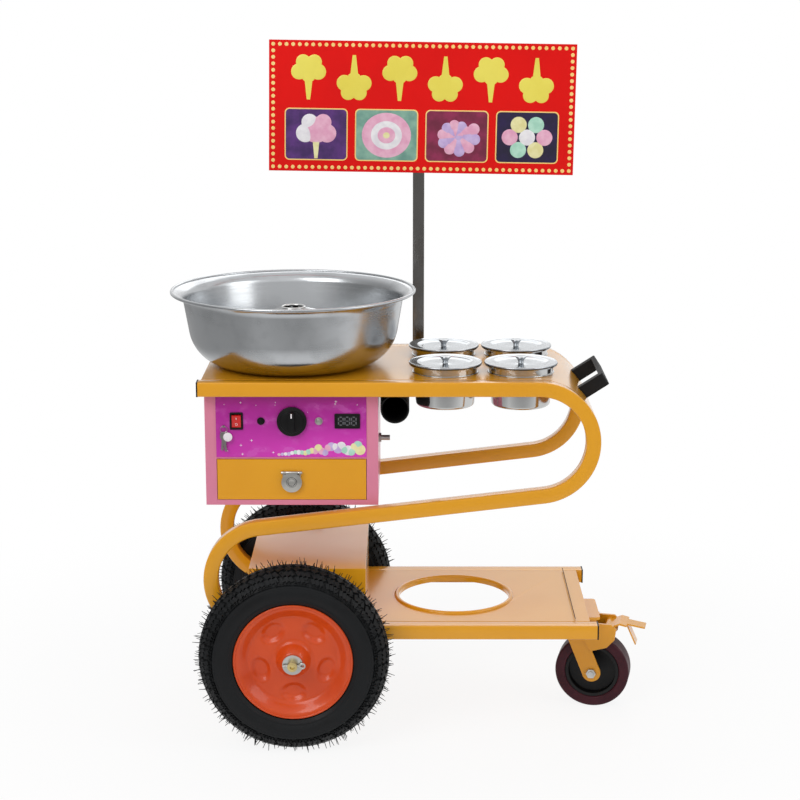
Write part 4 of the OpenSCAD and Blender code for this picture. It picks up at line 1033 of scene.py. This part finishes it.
@dataclass
class CanisterSet:
    """Four steel canisters with lids, in millimetres."""

    first_x: float = 505.0
    step_x: float = 156.0
    half_y: float = 91.0
    deck: float = 759.0
    base_r: float = 61.0
    wall_r: float = 66.5
    depth: float = 70.0
    neck: float = 19.0
    sheet: float = 1.2
    lid_r: float = 75.5
    lid_tone: Colour = (0.45, 0.47, 0.49, 1.0)

    def can(self) -> Form:
        """Turns one canister about its axis, with its table bead at height zero.

        Returns:
            The canister.
        """
        base, wall, t = self.base_r, self.wall_r, self.sheet
        outer = [(0.0, -self.depth), (base - 7, -self.depth)]
        outer += arc((base - 7, -self.depth + 7), 7, -90, -4, 8)
        outer += [(wall, 0.0), (wall + 1.5, 0.0)] + arc((wall + 1.5, 1.0), 1.0, -90, 90, 8)
        outer += [(wall, 2.0), (wall, self.neck - 3.6)]
        outer += arc((wall - 0.6, self.neck - 1.8), 1.8, -70, 180, 12)
        inner = [(wall - t, 2.0), (wall - t, 0.0)]
        inner += arc((base - 7, -self.depth + 7), 7 - t, -4, -90, 8)
        inner += [(0.0, -self.depth + t)]
        return turned(outer + inner, 96, closed=False)

    def lid(self) -> Form:
        """Turns one lid about its axis, with the canister's mouth at height zero.

        Returns:
            The lid.
        """
        edge = self.lid_r
        top = [(0.0, 13.0), (6.0, 13.0)] + arc((9.0, 11.0), 2.0, 80, -60, 8)
        top += [(6.2, 4.5), (5.6, 1.2), (7.2, -0.6), (22.0, -1.6), (46.0, -1.4)]
        top += [(52.0, -0.9), (55.5, 1.0), (57.5, 1.9), (60.0, 2.1), (64.0, 1.9), (69.0, 2.2)]
        top += arc((edge - 2.0, 1.0), 2.0, 110, -60, 10)
        top += [(edge - 1.4, -3.9), (edge - 2.6, -3.9), (edge - 2.8, -0.4)]
        under = [(66.0, 0.3), (61.2, 0.3), (60.3, -5.8), (59.1, -5.8), (58.6, 0.2), (56.2, -0.2),
                 (52.5, -2.2), (46.0, -2.7), (0.0, -2.8)]
        return turned(top + under, 128, closed=False)

    def build(self) -> None:
        """Sets the canisters and lids in the table, each lid with a dark ring of painted reflection and shade
        along its edge.
        """
        for index in range(4):
            x = self.first_x + (index % 2) * self.step_x
            y = -self.half_y if index < 2 else self.half_y
            can, lid = f"canister_{index + 1}", f"lid_{index + 1}"
            axis = tuple(at(x, y, 0))
            steel = SpunSteel(f"can_steel_{index + 1}", axis, roughness=0.07)
            brushed = SpunSteel(f"lid_steel_{index + 1}", axis, self.lid_tone, 0.11, streak=0.65)
            # The dark ring at each lid's edge is a painted reflection and shade line, not a darker part of the
            # lid.
            bead = Form()
            bead.ring(self.lid_r - 1.4, 1.7, shift(0, 0, -0.5), 128, 12)
            table, mouth = spot(x, y, self.deck), spot(x, y, self.deck + self.neck)
            finish_piece(can + "_shell", self.can(), steel, can, [can], 40.0, table)
            finish_piece(lid + "_shell", self.lid(), brushed, lid, [lid], 40.0, mouth)
            finish_piece(lid + "_painted_shade_ring", bead, PAINTED_SHADE_STEEL, lid, where=mouth)


@dataclass
class ControlPanel:
    """Controls, print and keys on the box front, in millimetres."""

    front_y: float = -174.5
    low: Point2 = (36.0, 597.0)
    high: Point2 = (343.0, 727.0)
    control_z: float = 673.0
    rocker_x: float = 78.0
    knob_x: float = 191.0
    meter_x: float = 304.0
    digit: Point2 = (9.4, 16.5)
    digit_step: float = 13.2
    stroke: float = 2.4
    hook: Point2 = (52.0, 662.0)
    print_t: float = 0.3
    # Radii of the two dark rings of painted shade round the latch's button.
    button_shade_rings: Point2 = (7.6, 10.4)
    button_wire: float = 0.55
    button_rise: float = 21.0
    button_out: float = 1.5
    puffs: int = 26
    stars: int = 16
    star_waist: float = 0.28
    controls: tuple[tuple[str, Coating, float], ...] = (
        ("panel_bezels", BLACK, 0.5), ("meter", BLACK, 0.5), ("metal_collar", LATCH_STEEL, 0.4),
        ("rocker", SWITCH_RED, 0.5), ("knob", BLACK, 1.2), ("push_button", BLACK, 0.8),
        ("metal_button", LATCH_STEEL, 0.8), ("latch_plate", LATCH_STEEL, 0.3), ("latch_flap", LATCH_STEEL, 0.4),
    )

    def flat(self, x: float, z: float, lift: float = 0.0) -> Matrix:
        """A place on the panel's face.

        Args:
            x: millimetres from the left rail ends.
            z: millimetres above the ground.
            lift: distance out of the face.

        Returns:
            A frame whose third axis leaves the face, still in millimetres.
        """
        return shift(x, self.front_y - lift, z) @ turn(90, "X")

    def build(self) -> None:
        """Builds the panel and all that is on it."""
        low = at(self.low[0], self.front_y, self.low[1])
        high = at(self.high[0], self.front_y, self.high[1])
        refine("control_panel", PanelPrint("panel_print", low, high), 0.0)
        for node, coat, edge in self.controls:
            refine(node, coat, edge, 32.0)
        self.digits()
        self.latch_shade_rings()
        self.marks()
        self.bubbles()
        self.keys()

    def digits(self) -> None:
        """Three unlit seven bar digits in the meter's window."""
        form = Form()
        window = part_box("meter")[0].y / MM + 1.0
        wide, tall = self.digit
        for column in (-1, 0, 1):
            x = self.meter_x + column * self.digit_step
            bars = [((0, row * tall / 2), (wide - 2 * self.stroke, self.stroke)) for row in (-1, 0, 1)]
            bars += [((side * wide / 2, row * tall / 4), (self.stroke, tall / 2 - self.stroke))
                     for side in (-1, 1) for row in (-1, 1)]
            for (dx, dz), (w, h) in bars:
                form.block((w, 0.4, h), shift(x + dx, window - 0.15, self.control_z + dz))
        place("meter_digits", form, DIM_DIGIT, slot="black_plastic")

    def latch_shade_rings(self) -> None:
        """Two fine dark rings round the latch's button: painted shade for the edge of its recess."""
        low, high = (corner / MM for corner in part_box("latch_flap"))
        middle = (low + high) / 2
        button = shift(middle.x, low.y + self.button_out, low.z + self.button_rise) @ turn(90, "X")
        form = Form()
        for radius in self.button_shade_rings:
            form.ring(radius, self.button_wire, button, 48, 8)
        finish_piece("latch_shade_rings", form, PAINTED_SHADE_STEEL, "latch", where=shift())

    def marks(self) -> None:
        """Index mark of the knob, and the bar and ring marks of the rocker."""
        form = Form()
        knob_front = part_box("knob")[0].y / MM
        form.block((2.6, 0.6, 9.0), shift(self.knob_x, knob_front - 0.1, self.control_z + 15.0), 0.15, 1)
        place("knob_index", form, WHITE_PRINT, "knob", "black_plastic")
        form = Form()
        tilt = shift(self.rocker_x, self.front_y + 1.0, self.control_z) @ turn(10, "X")
        slant = math.degrees(math.atan2(2.0, 12.6))
        form.block((1.2, 0.3, 4.6), tilt @ shift(0, -4.0, 6.3) @ turn(slant, "X"))
        form.ring(2.1, 0.35, tilt @ shift(0, -4.0, -6.3) @ turn(90 - slant, "X"), 24, 8)
        place("rocker_marks", form, WHITE_PRINT, "rocker", "switch_red")

    def bubbles(self) -> None:
        """Pale round puffs in a rising curve along the panel's foot, and small stars."""
        draw = random.Random(11)
        forms = [Form() for _ in PASTELS]
        (left, foot), (right, head) = self.low, self.high
        for i in range(self.puffs):
            along = i / (self.puffs - 1)
            radius = 3.2 + 9.5 * along * draw.uniform(0.55, 1.0)
            z = foot + radius + 2.0 + draw.uniform(0, 20) * along
            depth = 0.35 + 0.25 * draw.random()
            x = min(left + 128 + along * 168, right - radius - 2)
            form = forms[(i * 2 + i // 3) % len(forms)]
            form.ball((radius, depth, radius), shift(x, self.front_y, z), 28)
        for _ in range(self.stars):
            x = draw.uniform(left + 12, right - 12)
            z = draw.choice((draw.uniform(head - 22, head - 8), draw.uniform(foot + 6, foot + 36)))
            size = draw.uniform(1.4, 3.4)
            points = zip(circle((0, 0), size, 8), circle((0, 0), size * self.star_waist, 8))
            star = [(tip, waist)[k % 2] for k, (tip, waist) in enumerate(points)]
            forms[-1].prism(star, self.print_t, self.flat(x, z, -0.05))
        for form, coat in zip(forms, PASTELS):
            place("panel_" + coat.name, form, coat)

    def keys(self) -> None:
        """Two keys and a round tag on a ring, hung on a small hook."""
        x, z = self.hook
        form = Form()
        out = self.flat(x, z)
        form.disc(2.4, 1.0, out @ shift(0, 0, 0.5), 20)
        form.disc(1.1, 6.0, out @ shift(0, 0, 3.0), 16)
        form.disc(2.2, 1.0, out @ shift(0, 0, 6.5), 20)
        form.ring(7.0, 0.6, self.flat(x, z - 6.0, 4.0), 40, 8)
        for lean, drop, lift in ((-5.0, 0.0, 3.0), (7.0, 2.0, 4.9)):
            hang = self.flat(x, z - 12.0 - drop, lift) @ turn(lean, "Z")
            bow = round_box(14.0, 16.0, 5.0, 5)
            form.prism([(px, py - 7.0) for px, py in bow], 1.5, hang)
            blade = [(-2.6, -13.0), (2.6, -13.0), (2.6, -22.0), (1.2, -24.0), (2.6, -26.0), (1.4, -29.0),
                     (2.6, -32.0), (1.6, -36.0), (0.0, -39.0), (-2.6, -37.0)]
            form.prism(blade, 1.3, hang @ shift(0, 0, 0.1))
        place("key_bunch", form, KEY_STEEL, slot="stainless")
        edge = [(0.0, 0.0), (8.6, 0.0), (9.2, 0.4), (9.2, 1.2), (8.6, 1.6), (0.0, 1.6)]
        form = Form()
        form.take(turned(edge, 40, closed=False), self.flat(x + 8.5, z - 21.0, 6.8))
        form.ring(2.0, 0.45, self.flat(x + 5.2, z - 11.5, 6.2), 20, 6)
        place("key_tag", form, WHITE_PRINT, slot="stainless")


@dataclass
class SignBoard:
    """Board with a dotted border, yellow puffs and four small pictures, in millimetres."""

    centre: Point2 = (458.0, 1277.0)
    front_y: float = 200.3
    lean: float = 0.9
    width: float = 660.0
    height: float = 280.0
    dot_r: float = 4.3
    dot_inset: float = 9.0
    dots: tuple[int, int] = (45, 19)
    tile: Point2 = (136.0, 112.0)
    tile_step: float = 152.0
    tile_drop: float = -60.0
    picture_lift: float = 0.6
    zooms: dict[Motif, float] = field(default_factory=lambda: {
        Motif.PUFF: 1.18, Motif.RINGS: 1.28, Motif.TWIST: 1.05, Motif.DROPS: 1.25})
    puff_count: int = 6
    puff_rise: float = 62.0
    puff_step: float = 98.0
    puff_zoom: float = 1.14
    puff_stick: tuple[Point2, ...] = ((-3.2, -38.0), (3.2, -38.0), (8.0, 4.0), (-8.0, 4.0))
    puff_lobes: tuple[Point3, ...] = ((0, 18, 20), (-18, 10, 15), (18, 10, 15), (-10, 28, 14), (11, 28, 14),
                                      (0, 4, 14))
    sweet_lobes: tuple[Point3, ...] = ((0, 8, 24), (-20, 2, 17), (20, 2, 17), (-12, 22, 15), (13, 22, 15))
    sweet_stick: tuple[Point2, ...] = ((-3, -44), (3, -44), (6, -14), (-6, -14))

    def face(self, u: float, v: float, lift: float = 0.0) -> Matrix:
        """A place on the board's front.

        Args:
            u: millimetres right of its middle.
            v: millimetres above its middle.
            lift: distance out of the front.

        Returns:
            A frame whose third axis leaves the front, still in millimetres.
        """
        board = shift(self.centre[0], self.front_y, self.centre[1]) @ turn(self.lean, "Y")
        return board @ shift(u, -lift, v) @ turn(90, "X")

    def build(self) -> None:
        """Builds the board and its print."""
        refine("sign_board", SIGN_RED, 0.8)
        self.border()
        self.puffs()
        self.tiles()

    def border(self) -> None:
        """A row of cream dots along each edge."""
        form = Form()
        half_w, half_h = self.width / 2 - self.dot_inset, self.height / 2 - self.dot_inset
        across, up = self.dots
        places = [(-half_w + 2 * half_w * i / across, side * half_h)
                  for i in range(across + 1) for side in (-1, 1)]
        places += [(side * half_w, -half_h + 2 * half_h * i / up) for i in range(1, up) for side in (-1, 1)]
        for u, v in places:
            form.disc(self.dot_r, 0.7, self.face(u, v, 0.25), 14, self.dot_r * 0.8)
        place("sign_dots", form, CREAM, slot="sign_print")

    def puffs(self) -> None:
        """Yellow puffs on sticks, every second one upside down."""
        form = Form()
        for i in range(self.puff_count):
            u = (i - (self.puff_count - 1) / 2) * self.puff_step
            flip = self.face(u, self.puff_rise) @ turn(180 * (i % 2), "Z") @ widen(self.puff_zoom)
            form.prism(self.puff_stick, 0.6, flip @ shift(0, -4, -0.1))
            for du, dv, radius in self.puff_lobes:
                form.ball((radius, radius, 0.8 + radius * 0.02), flip @ shift(du, dv), 24)
        place("sign_puffs", form, YELLOW_PRINT, slot="sign_print")

    def tiles(self) -> None:
        """Four framed pictures, each a plain sweet on a dark ground."""
        frame_form = Form()
        wide, tall = self.tile
        pictures: dict[str, Form] = {coat.name: Form() for coat in PASTELS}
        for i, (motif, ground) in enumerate(zip(Motif, TILE_GROUNDS)):
            u = (i - (len(TILE_GROUNDS) - 1) / 2) * self.tile_step
            frame_form.prism(round_box(wide, tall, 10.0), 0.4, self.face(u, self.tile_drop))
            plate = Form()
            plate.prism(round_box(wide - 5, tall - 5, 8.0), 0.4, self.face(u, self.tile_drop, 0.25))
            place("sign_" + ground.name, plate, ground, slot="sign_print")
            self.picture(motif, pictures, u, self.tile_drop)
        place("sign_frames", frame_form, CREAM, slot="sign_print")
        for coat in PASTELS:
            place("sign_" + coat.name, pictures[coat.name], coat, slot="sign_print")

    def picture(self, motif: Motif, into: dict[str, Form], u: float, v: float) -> None:
        """Draws one small picture.

        Args:
            motif: what is drawn.
            into: the form of each pale colour.
            u: the picture's middle, right of the board's.
            v: the picture's middle, above the board's.
        """
        middle = self.face(u, v, self.picture_lift) @ widen(self.zooms[motif])
        pink, mint, lilac, lemon, white = (into[coat.name] for coat in PASTELS)
        if motif is Motif.PUFF:
            for k, (du, dv, radius) in enumerate(self.sweet_lobes):
                (pink, white)[k % 2].ball((radius, radius, 1.4), middle @ shift(du, dv), 28)
            lemon.prism(self.sweet_stick, 0.5, middle)
        elif motif is Motif.RINGS:
            for k, (radius, form) in enumerate(((38, pink), (28, white), (18, pink), (8, lemon))):
                form.ball((radius * 1.1, radius, 0.8 + 0.4 * k), middle, 36)
        elif motif is Motif.TWIST:
            for k in range(22):
                angle, reach = 0.62 * k, 5 + 1.6 * k
                bead = middle @ shift(reach * math.cos(angle), reach * 0.9 * math.sin(angle))
                (lilac, pink)[k % 2].ball((9 + k * 0.15, 9 + k * 0.15, 1.3), bead, 20)
        else:
            white.ball((14, 14, 1.4), middle, 26)
            for k, form in enumerate((pink, mint, lemon) * 2):
                angle = FULL_TURN * k / 6
                form.ball((14, 14, 1.4), middle @ shift(30 * math.cos(angle), 25 * math.sin(angle)), 26)


@dataclass(frozen=True)
class TreadRow:
    """One row of tread blocks round a tyre, in millimetres and degrees.

    A row is so many degrees across the tread from its middle, and its blocks
    are turned by a slant. One block in gap is left out, if gap is given, and
    blocks in groups of three keep a share of their step, the bunch.
    """

    count: int
    across: float
    size: Point3
    slant: float
    gap: int = 0
    bunch: float = 1.0

    def on(self, face: int) -> TreadRow:
        """The row on the tyre's outer or inner side, 1 or -1."""
        return replace(self, across=self.across * face, slant=self.slant * face)


@dataclass
class RoadWheel:
    """One air filled tyre on its pressed disc, in millimetres about the axle."""

    side: Side
    centre_x: float = 194.0
    centre_y: float = 254.5
    radius: float = 196.0
    half: float = 47.5
    core: float = 148.5
    bead: float = 104.0
    rim: float = 122.5
    rim_half: float = 34.0
    plate: float = 2.5
    disc_at: float = 15.0
    hub: float = 17.0
    hub_half: float = 49.5
    bore: float = 10.3
    dent_ring: float = 70.5
    dent_r: float = 31.0
    dent_depth: float = 7.5
    dents: int = 5
    dent_squeeze: float = 0.72
    dent_soft: float = 0.56
    hair_length: Point2 = (9.0, 19.0)
    hair_rows: tuple[float, ...] = (58.0, 46.0, 30.0, 12.0, -12.0, -30.0, -46.0, -58.0)
    hairs: int = 84
    middle_row: TreadRow = TreadRow(66, 0.0, (15.0, 12.5, 5.0), -34.0)
    side_rows: tuple[TreadRow, ...] = (
        TreadRow(66, 17.5, (15.5, 12.5, 5.0), 36.0),
        TreadRow(108, 35.5, (9.0, 15.0, 5.0), 34.0, bunch=0.86),
        TreadRow(108, 52.0, (8.7, 13.0, 4.6), 24.0, bunch=0.86),
        TreadRow(168, 61.5, (4.4, 1.8, 4.0), 0.0, gap=6),
        TreadRow(168, 65.5, (4.4, 1.8, 4.0), 0.0, gap=6),
    )

    def where(self) -> Matrix:
        """The wheel's place, with its outer face along its third axis."""
        middle = spot(self.centre_x, self.side.value * self.centre_y, self.radius)
        return middle @ turn(-90 * self.side.value, "X")

    def build(self) -> None:
        """Builds the tyre with its tread, and the disc."""
        self.tyre()
        self.disc()

    def section(self) -> list[Point2]:
        """The tyre's section, outer half first.

        Returns:
            Radius and height of its points.
        """
        half = [(self.bead + 0.6, 24.0), (113.6, 33.3), (self.rim + 1.2, 33.3), (self.rim + 2.0, 38.0),
                (127.5, 40.4), (130.0, 41.6), (131.2, 43.0), (133.6, 43.4), (135.0, 43.0), (141.0, 45.6),
                (148.0, 46.8), (156.0, 46.2), (160.0, 45.0), (161.4, 45.6), (163.6, 44.9), (164.6, 43.4)]
        core = (self.core, 0.0)
        half += arc(core, self.half - 3.6, 66, 44, 6) + arc(core, self.half - 4.4, 42, 0, 10)
        return half + [(r, -z) for r, z in half[-2::-1]]

    def tyre(self) -> None:
        """Turns the carcass and sets the tread blocks and moulding hairs on it."""
        form = turned(self.section(), 144)
        for row in (self.middle_row, *(row.on(face) for face in (-1, 1) for row in self.side_rows)):
            self.blocks(form, row)
        self.whiskers(form)
        node = self.side.word + "_tyre"
        finish_piece(node + "_tread", form, RUBBER, self.side.word + "_wheel", [node], 32.0,
                     self.where())

    def on_tread(self, angle: float, across: float, reach: float) -> Matrix:
        """A place on the tyre's round section.

        Args:
            angle: degrees round the axle.
            across: degrees round the section from the middle of the tread.
            reach: distance from the section's middle.

        Returns:
            A frame whose first axis leaves the tyre.
        """
        return turn(angle, "Z") @ shift(self.core, 0, 0) @ turn(-across, "Y") @ shift(reach, 0, 0)

    def blocks(self, form: Form, row: TreadRow) -> None:
        """Sets one row of tread blocks round the tyre.

        Args:
            form: the tyre.
            row: the row.
        """
        along, wide, high = row.size
        offset = 0.5 if row.across < 0 else 0.0
        sag = (along ** 2 / self.radius + wide ** 2 / self.half) / 8
        for i in range(row.count):
            if row.gap and i % row.gap == 0:
                continue
            step = i + offset - (i % 3 - 1) * (1.0 - row.bunch)
            seat = self.on_tread(360.0 * step / row.count, row.across, self.half - sag - high / 2)
            seat = seat @ turn(row.slant, "X")
            inward = seat.inverted()
            for vert in form.block((high, along, wide), seat):
                local = inward @ vert.co
                if local.x > 0:
                    vert.co = seat @ Vector((local.x, local.y * 0.88, local.z * 0.9))

    def whiskers(self, form: Form) -> None:
        """Thin moulding hairs on the tread, none of them under the ground.

        Args:
            form: the tyre.
        """
        draw = random.Random(5 if self.side is Side.NEAR else 9)
        upward = -self.side.value
        for across in self.hair_rows:
            for i in range(self.hairs):
                angle = 360.0 * (i + draw.uniform(-0.45, 0.45)) / self.hairs
                lean, swing = draw.uniform(-24, 24), draw.uniform(-28, 28)
                length = draw.uniform(*self.hair_length)
                root = self.on_tread(angle, across + draw.uniform(-5, 5), self.half - 2.5) @ turn(90, "Y")
                root = root @ turn(lean, "X") @ turn(swing, "Y")
                if (root @ Vector((0, 0, length))).y * upward < 1.0 - self.radius:
                    continue
                bmesh.ops.create_cone(form.bm, cap_ends=True, cap_tris=True, segments=4, radius1=1.0,
                                      radius2=0.5, depth=length, matrix=root @ shift(0, 0, length / 2))

    def disc(self) -> None:
        """Turns the rim, its rolled edge, the pressed disc and the hub."""
        seat, flange, t = self.bead, self.rim_half, self.plate
        rim = [(seat - t, -flange - t), (seat - t, 23.0), (seat, 23.0), (seat, -flange + 1.0),
               (seat + 1.0, -flange)]
        rim += arc((self.rim - 2.5, -flange - t - 0.3), 2.5, 60, -120, 8) + [(seat - t + 0.8, -flange - t)]
        hub = [(self.bore, -self.hub_half), (self.hub, -self.hub_half), (self.hub, self.hub_half - 1.0),
               (self.hub - 1.0, self.hub_half), (self.bore, self.hub_half)]
        form = turned(rim, 128)
        form.ring(self.rim - 2.5, 2.5, shift(0, 0, flange + t), 128, 14)
        form.take(self.web(), shift())
        form.take(turned(hub, 64), shift())
        node = self.side.word + "_disc"
        finish_piece(node + "_pressing", form, RIM_RED, self.side.word + "_wheel", [node], 45.0,
                     self.where())

    def web(self) -> Form:
        """The dished disc between rim and hub, with its dents.

        Returns:
            The disc.
        """
        top, collar = self.disc_at + self.plate, self.hub_half - 6.0
        rise = [(self.hub - 0.5, collar), (self.hub + 3.0, collar - 0.4), (self.hub + 6.0, collar - 3.0),
                (33.0, top + 6.0), (36.0, top + 2.4), (40.0, top + 0.6)]
        flat = [(44.0 + 2.0 * i, top) for i in range(24)]
        edge = [(92.5, top + 0.5), (95.0, top + 2.0), (98.5, top + 5.4), (104.0, top + 10.8),
                (109.0, top + 15.6), (112.0, top + 17.8), (115.0, top + 18.8), (self.rim - 2.5, top + 19.2)]
        upper = rise + flat + edge
        slope = 0.7 * self.plate
        lower = [(r + slope, z - slope) if 94.0 < r < 113.0 else (r, z - self.plate) for r, z in upper]
        form = turned(upper + lower[::-1], 180)
        for vert in form.bm.verts:
            vert.co.z -= self.dent_depth * self.press(vert.co.xy)
        return form

    def press(self, where: Vector) -> float:
        """How deep a place of the disc lies in a dent.

        Args:
            where: the place, seen along the axle.

        Returns:
            One in a dent's middle, nothing outside all dents.
        """
        deepest = 0.0
        for k in range(self.dents):
            angle = math.radians(54 + 360 / self.dents * k)
            outward = Vector((math.cos(angle), math.sin(angle)))
            reach = where - self.dent_ring * outward
            along, across = reach.dot(outward), reach.dot(outward.orthogonal())
            far = math.hypot(along / self.dent_squeeze, across) / self.dent_r
            soft = min(max((1.0 - far) / self.dent_soft, 0.0), 1.0)
            deepest = max(deepest, soft * soft * (3 - 2 * soft))
        return deepest


@dataclass
class SwivelCastor:
    """The castor with its fork and foot pedal."""

    pressed: tuple[tuple[str, Coating, float], ...] = (
        ("castor_plate", YELLOW, 0.6), ("castor_fork", YELLOW, 0.8), ("brake_pedal", YELLOW, 0.7),
    )
    wheel: tuple[tuple[str, Coating, float], ...] = (("castor_tread", MAROON, 0.0), ("castor_core", BLACK, 0.6))

    def build(self) -> None:
        """Shows the castor's parts with rounded edges."""
        for node, coat, edge in self.pressed:
            refine(node, coat, edge)
        for node, coat, edge in self.wheel:
            refine(node, coat, edge, 40.0)
        refine("castor_axle", ZINC, 0.5)


@dataclass(frozen=True)
class Lamp:
    """A square lamp that faces the cart, in metres and watts."""

    name: str
    where: Point3
    size: float
    power: float
    aim: Point3 = (0.0, 0.0, 0.6)

    def build(self) -> None:
        """Hangs the lamp."""
        data = bpy.data.lights.new(self.name, "AREA")
        data.size = self.size
        data.energy = self.power
        lamp = bpy.data.objects.new(self.name, data)
        lamp.location = self.where
        toward = Vector(self.aim) - Vector(self.where)
        lamp.rotation_euler = toward.to_track_quat("-Z", "Y").to_euler()
        bpy.context.scene.collection.objects.link(lamp)


@dataclass
class Studio:
    """Floor, light and camera, in metres and degrees."""

    eye: Point3 = (-0.016964, -4.02464, 1.59975)
    pitch: float = 12.914
    yaw: float = 0.143
    lens: float = 87.485
    sensor: float = 36.0
    fill: float = 0.56
    room: float = 0.3
    left: float = 0.45
    floor_r: float = 9.0
    floor_tone: Colour = (0.93, 0.93, 0.93, 1.0)
    floor_fade: Point2 = (0.5, 1.6)
    floor_white: float = 0.88
    lamps: tuple[Lamp, ...] = (
        Lamp("key", (-2.2, -3.0, 3.4), 2.4, 70.0),
        Lamp("side", (3.2, -1.6, 2.4), 2.0, 26.0),
        Lamp("back", (0.4, 3.2, 3.0), 2.6, 26.0),
    )

    def build(self) -> None:
        """Sets the floor, the world, the lamps and the camera."""
        self.floor()
        self.world()
        for lamp in self.lamps:
            lamp.build()
        self.camera()

    def camera(self) -> None:
        """Sets the camera."""
        data = bpy.data.cameras.new("camera")
        data.lens = self.lens
        data.sensor_width = self.sensor
        data.clip_end = 100.0
        camera = bpy.data.objects.new("camera", data)
        camera.location = self.eye
        camera.rotation_euler = (math.radians(90 - self.pitch), 0.0, math.radians(self.yaw))
        bpy.context.scene.collection.objects.link(camera)
        bpy.context.scene.camera = camera
        bpy.context.scene.view_settings.view_transform = "Standard"

    @staticmethod
    def seen(path: bpy.types.NodeOutputs, graph: Graph) -> bpy.types.NodeSocket:
        """One for camera, mirror and glass rays, else nothing.

        Args:
            path: outputs of the graph's Light Path node.
            graph: the graph.

        Returns:
            The share's socket.
        """
        both = graph.math("MAXIMUM", path["Is Camera Ray"], path["Is Glossy Ray"])
        return graph.math("MAXIMUM", both, path["Is Transmission Ray"])

    def floor(self) -> None:
        """A pale floor that fades into the white backdrop, dimmer in mirrors as the room is."""
        bm = bmesh.new()
        bmesh.ops.create_circle(bm, cap_ends=True, segments=96, radius=self.floor_r)
        mesh = bpy.data.meshes.new("floor")
        bm.to_mesh(mesh)
        bm.free()
        floor = bpy.data.objects.new("floor", mesh)
        bpy.context.scene.collection.objects.link(floor)
        material, graph, shader = new_material("pale_floor")
        graph.fill(shader, {"Base Color": self.floor_tone, "Roughness": 0.9, "Specular IOR Level": 0.0})
        place = graph.place()
        parts = graph.split(place)
        path = graph.add("ShaderNodeLightPath").outputs
        reach = graph.add("ShaderNodeVectorMath", {0: place}, operation="LENGTH").outputs["Value"]
        far = graph.span(reach, *self.floor_fade, self.floor_white, 1.0)
        shade = graph.math("MAXIMUM", graph.span(parts[1], -0.5, -2.2, 0.0, 1.0 - self.room),
                           graph.span(parts[0], -0.5, -1.6, 0.0, 1.0 - self.left))
        dim = graph.math("MULTIPLY", path["Is Glossy Ray"], shade)
        glow = graph.add("ShaderNodeEmission", {"Color": (1, 1, 1, 1),
                                               "Strength": graph.math("SUBTRACT", 1.0, dim)})
        share = graph.math("MULTIPLY", far, self.seen(path, graph))
        mixed = graph.add("ShaderNodeMixShader", {0: share, 1: shader.outputs[0], 2: glow.outputs[0]})
        graph.feed(material.node_tree.nodes["Material Output"].inputs["Surface"], mixed.outputs[0])
        mesh.materials.append(material)

    def world(self) -> None:
        """Soft light from all round, white where it is seen, with a dimmer room in front in mirrors."""
        world = bpy.data.worlds.new("studio")
        bpy.context.scene.world = world
        world.use_nodes = True
        graph = Graph(world.node_tree)
        parts = graph.split(graph.add("ShaderNodeTexCoord").outputs["Generated"])
        room = graph.math("MAXIMUM", graph.span(parts[1], -0.35, 0.3, self.room, 1.0),
                          graph.span(parts[2], -0.1, 0.4, self.room, 1.0))
        room = graph.math("MULTIPLY", room, graph.span(parts[0], -0.95, -0.3, self.left, 1.0))
        path = graph.add("ShaderNodeLightPath").outputs
        plain = graph.math("SUBTRACT", 1.0, path["Is Glossy Ray"])
        mirrored = graph.math("MULTIPLY", path["Is Glossy Ray"], room)
        lit = graph.span(self.seen(path, graph), 0.0, 1.0, self.fill, 1.0)
        strength = graph.math("MULTIPLY", lit, graph.math("ADD", plain, mirrored))
        graph.fill(world.node_tree.nodes["Background"], {"Color": (1.0, 1.0, 1.0, 1.0), "Strength": strength})


def main() -> None:
    """Builds the cart's looks, part by part."""
    logging.basicConfig(level=logging.INFO, format="%(message)s")
    assemblies = (Studio(), SideRails(), Sheetwork(), SpinningBowl(), CanisterSet(), ControlPanel(),
                  SignBoard(), RoadWheel(Side.NEAR), RoadWheel(Side.FAR), SwivelCastor())
    for assembly in assemblies:
        LOG.info("building %s", type(assembly).__name__)
        assembly.build()


if __name__ == "__main__":
    main()
